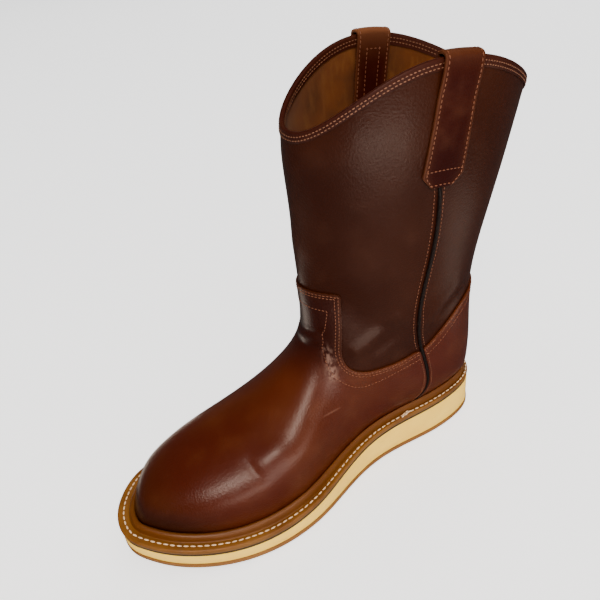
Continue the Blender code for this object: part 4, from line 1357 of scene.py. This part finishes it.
# %% The stitch tree
def stitch_tree():
    """Geometry Nodes: beads of thread along every path of a mesh."""
    tree = bpy.data.node_groups.new("stitch_rows", "GeometryNodeTree")
    face = tree.interface
    face.new_socket("Geometry", in_out="INPUT", socket_type="NodeSocketGeometry")
    for name in ("Pitch", "Length", "Width", "Height", "Slant"):
        face.new_socket(name, in_out="INPUT", socket_type="NodeSocketFloat")
    face.new_socket("Thread", in_out="INPUT", socket_type="NodeSocketMaterial")
    face.new_socket("Geometry", in_out="OUTPUT", socket_type="NodeSocketGeometry")

    def add(kind, settings, **sockets):
        node = tree.nodes.new(kind)
        for name, value in settings.items():
            setattr(node, name, value)
        for name, value in sockets.items():
            socket = node.inputs[name.replace("_", " ")]
            if isinstance(value, bpy.types.NodeSocket):
                tree.links.new(value, socket)
            else:
                socket.default_value = value
        return node

    given = add("NodeGroupInput", {}).outputs
    path = add("GeometryNodeMeshToCurve", {}, Mesh=given["Geometry"])
    even = add("GeometryNodeResampleCurve", {"mode": "LENGTH"}, Curve=path.outputs[0], Length=given["Pitch"])
    bead = add("GeometryNodeMeshUVSphere", {}, Segments=8, Rings=5, Radius=0.5)
    size = add("ShaderNodeCombineXYZ", {}, X=given["Length"], Y=given["Width"], Z=given["Height"])
    shaped = add("GeometryNodeTransform", {}, Geometry=bead.outputs[0], Scale=size.outputs[0])
    tangent = add("GeometryNodeInputTangent", {})
    along = add("FunctionNodeAlignRotationToVector", {"axis": "X"}, Vector=tangent.outputs[0])
    out = add("GeometryNodeInputNamedAttribute", {"data_type": "FLOAT_VECTOR"}, Name="out")
    turned = add("FunctionNodeAlignRotationToVector", {"axis": "Z", "pivot_axis": "X"},
                 Rotation=along.outputs[0], Vector=out.outputs[0])
    most = add("ShaderNodeCombineXYZ", {}, Z=given["Slant"])
    least = add("ShaderNodeVectorMath", {"operation": "SCALE"}, Vector=most.outputs[0], Scale=-1.0)
    slant = add("FunctionNodeRandomValue", {"data_type": "FLOAT_VECTOR"},
                Min=least.outputs[0], Max=most.outputs[0], Seed=7)
    lean = add("FunctionNodeEulerToRotation", {}, Euler=slant.outputs[0])
    uneven = add("FunctionNodeRotateRotation", {"rotation_space": "LOCAL"}, Rotation=turned.outputs[0],
                 Rotate_By=lean.outputs[0])
    row = add("GeometryNodeInstanceOnPoints", {}, Points=even.outputs[0], Instance=shaped.outputs[0],
              Rotation=uneven.outputs[0])
    real = add("GeometryNodeRealizeInstances", {}, Geometry=row.outputs[0])
    smooth = add("GeometryNodeSetShadeSmooth", {}, Geometry=real.outputs[0])
    thread = add("GeometryNodeSetMaterial", {}, Geometry=smooth.outputs[0], Material=given["Thread"])
    tree.links.new(thread.outputs[0], add("NodeGroupOutput", {}).inputs["Geometry"])
    return tree


stitches = stitch_tree()
SOCKETS = {item.name: item.identifier
           for item in stitches.interface.items_tree if item.in_out == "INPUT"}
print("stitch tree", len(stitches.nodes), "nodes, inputs", list(SOCKETS))

# %% [markdown]
# To sew, a list of paths becomes a mesh of bare edges, which carries the leather's outward
# direction at each point. The tree is put on it as a modifier, its inputs are set by their
# identifiers, and the result is made a plain mesh, as for every other piece.


# %% Sewing rows
def stitch(name, paths, thread, node, slot, pitch=2.6, length=1.9, width=0.55, height=0.45,
           slant=0.10, proud=0.08):
    """One piece of thread for a list of paths; pitch is from one stitch to the next."""
    points = np.concatenate([place + normal * proud for place, normal in paths])
    normals = np.concatenate([normal for _, normal in paths])
    starts = np.cumsum([0] + [len(place) for place, _ in paths])
    edges = [(i, i + 1) for first, end in zip(starts[:-1], starts[1:]) for i in range(first, end - 1)]
    mesh = bpy.data.meshes.new(name)
    mesh.from_pydata(placed(points).tolist(), edges, [])
    out = mesh.attributes.new("out", "FLOAT_VECTOR", "POINT")
    out.data.foreach_set("vector", normals.astype(np.float32).ravel())
    piece = linked(name, mesh)
    sewn = piece.modifiers.new("stitch_rows", "NODES")
    sewn.node_group = stitches
    for socket, value in (("Pitch", pitch * MM), ("Length", length * MM), ("Width", width * MM),
                          ("Height", height * MM), ("Slant", slant), ("Thread", thread)):
        sewn[SOCKETS[socket]] = value
    bpy.context.view_layer.update()
    return finished(piece, node)


print("usual pitch, length, width, height, slant and lift of a stitch", stitch.__defaults__)

# %% [markdown]
# The vamp is sewn down with two rows along its top edge and one more further in, which runs round
# the tab. The counter has two rows along its top, and vamp, counter and shaft each have a row
# beside the side seam. Rows could be drawn as curves by hand, but contour lines keep an even
# distance from the edge, also over the folds.

# %% Stitch rows of the panels
TOP_ROWS = (1.5, 3.4)
INNER_ROW = ((65.0, 94.6), (72.0, 93.3), (91.3, 89.8), (109.0, 86.3), (118.1, 86.6), (127.5, 92.2),
             (133.4, 99.4), (135.4, 106.7), (135.2, 114.3), (133.0, 128.5), (130.3, 142.2),
             (128.7, 149.5), (145.0, 152.5))
SEAM_ROW = 1.7
COUNTER_ROWS = (1.6, 6.8)
SHAFT_SEAM_ROW = 3.4
SEAM_CLEAR = 0.6
EDGE_CLEAR = 0.8
BARE_CLEAR = 1.5
STRAP_LAP = 5.0
to_vamp_top = distance_to_path(upper_skin[..., (0, 2)], vamp_top)
to_vamp_seam = distance_to_path(upper_skin[..., (0, 2)], vamp_seam)
to_counter_top = distance_to_path(upper_skin[..., (0, 2)], counter_top)
to_counter_seam = distance_to_path(upper_skin[..., (0, 2)], counter_seam)


def in_panel(outline, seam_line, margin):
    """A test for points inside a pattern and clear of its seam edge."""
    def test(point):
        flat = point[None]
        clear = distance_to_path(flat[..., (0, 2)], seam_line)[0] > margin
        return bool(clear and signed_distance(flat, outline)[0] > EDGE_CLEAR)
    return test


def above_welt(point):
    """True where a point shows above the welt's rib."""
    return point[2] > along_sole("feather", np.clip(point[0], 0.0, LAST_LENGTH)) + 1.0


vamp_rows = []
on_vamp = in_panel(vamp_outline, vamp_seam, SEAM_ROW + SEAM_CLEAR)
for level in TOP_ROWS:
    vamp_rows += contour(overlay_face, to_vamp_top, level, on_vamp)
inner_outline = np.concatenate([[(INNER_ROW[0][0], 0.0)], smooth_path(INNER_ROW[:-1]), INNER_ROW[-1:],
                                [(far_front, INNER_ROW[-1][1]), (far_front, 0.0)]])
vamp_rows += contour(overlay_face, signed_distance(upper_skin, inner_outline), 0.0, on_vamp)
vamp_rows += contour(overlay_face, to_vamp_seam, SEAM_ROW,
                     lambda p: in_panel(vamp_outline, vamp_top, 1.0)(p) and above_welt(p))
stitch("vamp_stitches", vamp_rows, tan_thread, "vamp", "vamp_leather")
counter_rows = []
on_counter = in_panel(counter_outline, counter_seam, SEAM_ROW + SEAM_CLEAR)
for level in COUNTER_ROWS:
    counter_rows += contour(overlay_face, to_counter_top, level, on_counter)
counter_rows += contour(overlay_face, to_counter_seam, SEAM_ROW,
                        lambda p: in_panel(counter_outline, counter_top, 1.0)(p) and above_welt(p))
stitch("counter_stitches", counter_rows, tan_thread, "counter", "vamp_leather")

from_seam = upper_skin[..., 0] - seam_x(np.clip(upper_skin[..., 2], seam["z"][0], seam["z"][-1]))


def beside_seam(point):
    """True on the bare shaft between the overlays and the straps."""
    flat = point[None]
    inside = max(signed_distance(flat, outline)[0] for outline in (vamp_outline, counter_outline))
    return bool(inside < -BARE_CLEAR and VAMP_SEAM_TOP < point[2] < seam["z"][-1] + STRAP_LAP)


shaft_rows = []
for level in (-SHAFT_SEAM_ROW, SHAFT_SEAM_ROW):
    shaft_rows += contour(upper_skin, from_seam, level, beside_seam)
stitch("shaft_stitches", shaft_rows, tan_thread, "upper", "shaft_leather")

# %% [markdown]
# Two rows hold the binding, and show on both faces of the collar. A pull strap has a row along each
# edge, one across its pointed end and one above that, and an open box on its inner leg. These rows
# follow the loop of the collar and the strap's own rows and columns, so they need no contour lines.

# %% Stitch rows of collar and straps
OUTER_COLLAR_ROWS = (1.7, 3.8)
INNER_COLLAR_ROWS = (1.8, 4.1)
collar_rows = []
for drop in OUTER_COLLAR_ROWS:
    collar_rows.append((at_collar(roll_out, -drop), collar_out))
for drop in INNER_COLLAR_ROWS:
    collar_rows.append((at_collar(roll_in, -drop), -collar_out))
stitch("collar_stitches", collar_rows, pale_thread, "collar_binding", "vamp_leather",
       pitch=2.4, length=1.7, width=0.65, height=0.5)

STRAP_EDGE_ROW = 2.2
CROSS_ROW = 10.5
BOX_ACROSS = 0.19
BOX_TOP = 8.0
FIRST_ROW = 1.0
LAST_ROW = 1.6
LONG_ROW_POINTS = 40
SHORT_ROW_POINTS = 20
outer_end = CHAMFER_ROWS + STRAP_ROWS
drops = np.array([row[0] for row in strap_rows()])


def strap_line(grid, normals, rows, share):
    """A path over a strap at row numbers and shares of its width."""
    rows = np.asarray(rows, float)
    place = (np.asarray(share) + 0.5) * (STRAP_ACROSS - 1)
    place = np.broadcast_to(place, rows.shape)
    low_row = np.minimum(rows.astype(int), len(grid) - 2)
    low_col = np.minimum(place.astype(int), STRAP_ACROSS - 2)
    a, b = (rows - low_row)[:, None], (place - low_col)[:, None]

    def blend(values):
        near = values[low_row, low_col] * (1 - b) + values[low_row, low_col + 1] * b
        far = values[low_row + 1, low_col] * (1 - b) + values[low_row + 1, low_col + 1] * b
        return near * (1 - a) + far * a

    normal = unit(blend(normals))
    return blend(grid) + normal * (STRAP / 2.0), normal


for name, (grid, normals) in strap_sheets.items():
    count = len(grid)
    edge = 0.5 - STRAP_EDGE_ROW / STRAP_WIDTH
    every = np.linspace(FIRST_ROW, count - LAST_ROW, 3 * count)
    cross = np.interp(-(STRAP_OUTER_LEG - CROSS_ROW), -drops[:outer_end], np.arange(outer_end))
    inner_first = outer_end + ARCH_ROWS
    box_top = np.interp(BOX_TOP, drops[inner_first:], np.arange(inner_first, count))
    rows = [strap_line(grid, normals, every, share) for share in (-edge, edge)]
    for row, reach, number in ((cross, edge, LONG_ROW_POINTS), (FIRST_ROW, edge, LONG_ROW_POINTS),
                               (box_top, BOX_ACROSS, SHORT_ROW_POINTS)):
        rows.append(strap_line(grid, normals, np.full(number, row), np.linspace(-reach, reach, number)))
    for share in (-BOX_ACROSS, BOX_ACROSS):
        down = np.linspace(box_top, count - LAST_ROW, LONG_ROW_POINTS)
        rows.append(strap_line(grid, normals, down, share))
    stitch(name + "_stitches", rows, tan_thread, name, "vamp_leather",
           pitch=2.7, length=2.0, width=0.6, height=0.5)

# %% [markdown]
# The welt is sewn with thick pale thread, in one long row that goes right round. The same tree
# makes it, with larger beads. Where the row was begun and ended, at the waist, a few stitches lie
# over each other, so three short paths are laid there.

# %% Welt stitches
WELT_ROW = 0.66
welt_row = on_welt(WELT_ROW, 0.0, 0.1)
loop = np.concatenate([welt_row, welt_row[:1]])
upright = np.tile((0.0, 0.0, 1.0), (len(loop), 1))
stitch("welt_stitches", [(loop, upright)], white_thread, "welt", "welt_leather",
       pitch=4.6, length=3.7, width=1.15, height=0.9)
OVERLAPS = ((75.5, 0.5), (77.2, -0.6), (78.8, 0.9))
OVERLAP_HALF = 1.8
OVERLAP_SLANT = 0.5
OVERLAP_RISE = 0.5
OVERLAP_POINTS = 5
medial_row = welt_row[:len(feather_medial)]
medial_row = medial_row[np.argsort(medial_row[:, 0])]
overlap = []
for ahead, aside in OVERLAPS:
    x = ahead + np.linspace(-OVERLAP_HALF, OVERLAP_HALF, OVERLAP_POINTS)
    slanted = aside + np.linspace(-OVERLAP_SLANT, OVERLAP_SLANT, OVERLAP_POINTS)
    y = np.interp(x, medial_row[:, 0], medial_row[:, 1]) + slanted
    z = np.interp(x, medial_row[:, 0], medial_row[:, 2]) + OVERLAP_RISE
    overlap.append((np.stack([x, y, z], -1), upright[:OVERLAP_POINTS]))
stitch("welt_thread_end", overlap, white_thread, "welt", "welt_leather",
       pitch=3.5, length=3.6, width=1.2, height=1.0)

# %% [markdown]
# ## Floor, light and camera
# The boot stands on a plain pale floor inside a round pale backdrop, as on a table in a light tent.
# Both glow a little, so they stay even and nearly white without lamps that would flood the leather.
# Polish doesn't mirror them, because a mirrored white room turns dark leather grey; the sheens come
# from the lamps of the next step.

# %% Floor
STAGE_REACH = 20.0
STAGE_SIDES = 48
FLOOR_DROP = 0.0003
pale_floor = Finish("pale_floor", base_color=(0.6, 0.6, 0.6, 1.0), roughness=0.9, specular_ior_level=0.0,
                    emission_color=(1.0, 1.0, 1.0, 1.0), emission_strength=1.6)


def stage_piece(name, points, faces):
    """A plain piece of the pale surroundings, which the polish doesn't mirror."""
    mesh = bpy.data.meshes.new(name)
    mesh.from_pydata(points, [], faces)
    mesh.materials.append(pale_floor.material)
    piece = linked(name, mesh)
    piece.visible_glossy = False
    return piece


turns = np.linspace(0.0, 2.0 * np.pi, STAGE_SIDES, endpoint=False)
ring = [(STAGE_REACH * np.cos(turn), STAGE_REACH * np.sin(turn)) for turn in turns]
stage_piece("floor", [(x, y, -FLOOR_DROP) for x, y in ring], [range(STAGE_SIDES)])
wall_points = [(x, y, z) for z in (-FLOOR_DROP, STAGE_REACH) for x, y in ring]
wall_faces = [((i + 1) % STAGE_SIDES, i, i + STAGE_SIDES, (i + 1) % STAGE_SIDES + STAGE_SIDES)
              for i in range(STAGE_SIDES)]
backdrop = stage_piece("backdrop", wall_points, wall_faces)
backdrop.visible_diffuse = False
print("stage", STAGE_REACH, "metres each way")

# %% [markdown]
# A softbox high on the inner side makes the long highlight over the vamp. Three broad fills light
# the leather, but aren't mirrored in it. Four small warm cards are the other way round: they are
# seen only in the polish, like the white cards that a photographer sets beside a shoe, and give the
# soft sheens low on the counter, on the ankle's folds, along the back of the shaft and beside the
# tab. One lamp could not do all this without burning out the rest.

# %% Light
BOOT_MIDDLE = (0.0, 0.0, 0.1)
WARM = (1.0, 0.84, 0.70)
WHITE = (1.0, 1.0, 1.0)
WORLD_STRENGTH = 0.08
# Each lamp: name, place, aim, size, power, whether it lights the leather and whether polish mirrors it.
LAMPS = (
    ("softbox", (0.482, 0.844, 1.246), BOOT_MIDDLE, (0.5, 0.5), 17.0, True, True),
    ("fill_top", (-0.15, 0.6, 3.0), BOOT_MIDDLE, (4.0, 4.0), 105.0, True, False),
    ("fill_medial", (-0.1, 1.7, 0.75), BOOT_MIDDLE, (1.5, 1.5), 17.0, True, False),
    ("fill_back", (-3.0, -2.5, 1.8), BOOT_MIDDLE, (4.0, 4.0), 95.0, True, False),
    ("floor_sheen", (-0.09, 0.17, 0.001), (-0.09, 0.17, 1.0), (0.26, 0.2), 0.03, False, True),
    ("low_card", (0.067, 0.40, 0.125), (0.067, 0.0, 0.125), (0.36, 0.09), 0.85, False, True),
    ("back_card", (-0.33, 0.2, 0.001), (-0.33, 0.2, 1.0), (0.18, 0.2), 0.16, False, True),
    ("far_card", (0.157, -0.165, 0.001), (0.157, -0.165, 1.0), (0.14, 0.12), 0.12, False, True),
)


def area_light(name, place, aim, size, power, diffuse, glossy):
    """A soft rectangle of light at a place, turned towards another."""
    data = bpy.data.lights.new(name, "AREA")
    data.shape = "RECTANGLE"
    data.size, data.size_y = size
    data.energy = power
    data.color = WARM if glossy else WHITE
    lamp = linked(name, data)
    lamp.location = place
    lamp.rotation_euler = (Vector(place) - Vector(aim)).to_track_quat("Z", "Y").to_euler()
    lamp.visible_camera = False
    lamp.visible_diffuse = diffuse
    lamp.visible_glossy = glossy


for lamp in LAMPS:
    area_light(*lamp)
world = bpy.data.worlds.new("studio")
bpy.context.scene.world = world
world.use_nodes = True
background = world.node_tree.nodes["Background"]
background.inputs["Color"].default_value = (*WHITE, 1.0)
background.inputs["Strength"].default_value = WORLD_STRENGTH
print("lamps", [lamp[0] for lamp in LAMPS])

# %% [markdown]
# The camera stands where the photograph was taken from: in front of the toe on the inner side,
# looking down, slightly rolled. Its lens and shift give the same perspective and framing.

# %% Camera
AZIMUTH, ELEVATION, ROLL = np.radians((153.18, 36.34, -5.86))
AIM = np.array((110.0, 0.0, 120.0))
DISTANCE = 420.94
FOCAL_PIXELS = 575.67
CENTRE_X, CENTRE_Y = 342.82, 323.91
IMAGE = 600.0
SENSOR = 36.0
back = np.array((np.sin(AZIMUTH) * np.cos(ELEVATION), -np.cos(AZIMUTH) * np.cos(ELEVATION),
                 np.sin(ELEVATION)))
level = unit(np.cross(-back, (0.0, 0.0, 1.0)))
upward = np.cross(level, -back)
right = np.cos(ROLL) * level + np.sin(ROLL) * upward
up = -np.sin(ROLL) * level + np.cos(ROLL) * upward
camera_data = bpy.data.cameras.new("camera")
camera_data.sensor_width = SENSOR
camera_data.lens = FOCAL_PIXELS * SENSOR / IMAGE
camera_data.shift_x = (IMAGE / 2.0 - CENTRE_X) / IMAGE
camera_data.shift_y = (CENTRE_Y - IMAGE / 2.0) / IMAGE
camera_data.clip_start = 0.01
camera = linked("camera", camera_data)
turn = Matrix((right, up, back)).transposed().to_4x4()
camera.matrix_world = Matrix.Translation(placed(AIM + back * DISTANCE)) @ turn
bpy.context.scene.camera = camera
print("camera at", [round(v, 3) for v in camera.matrix_world.translation])
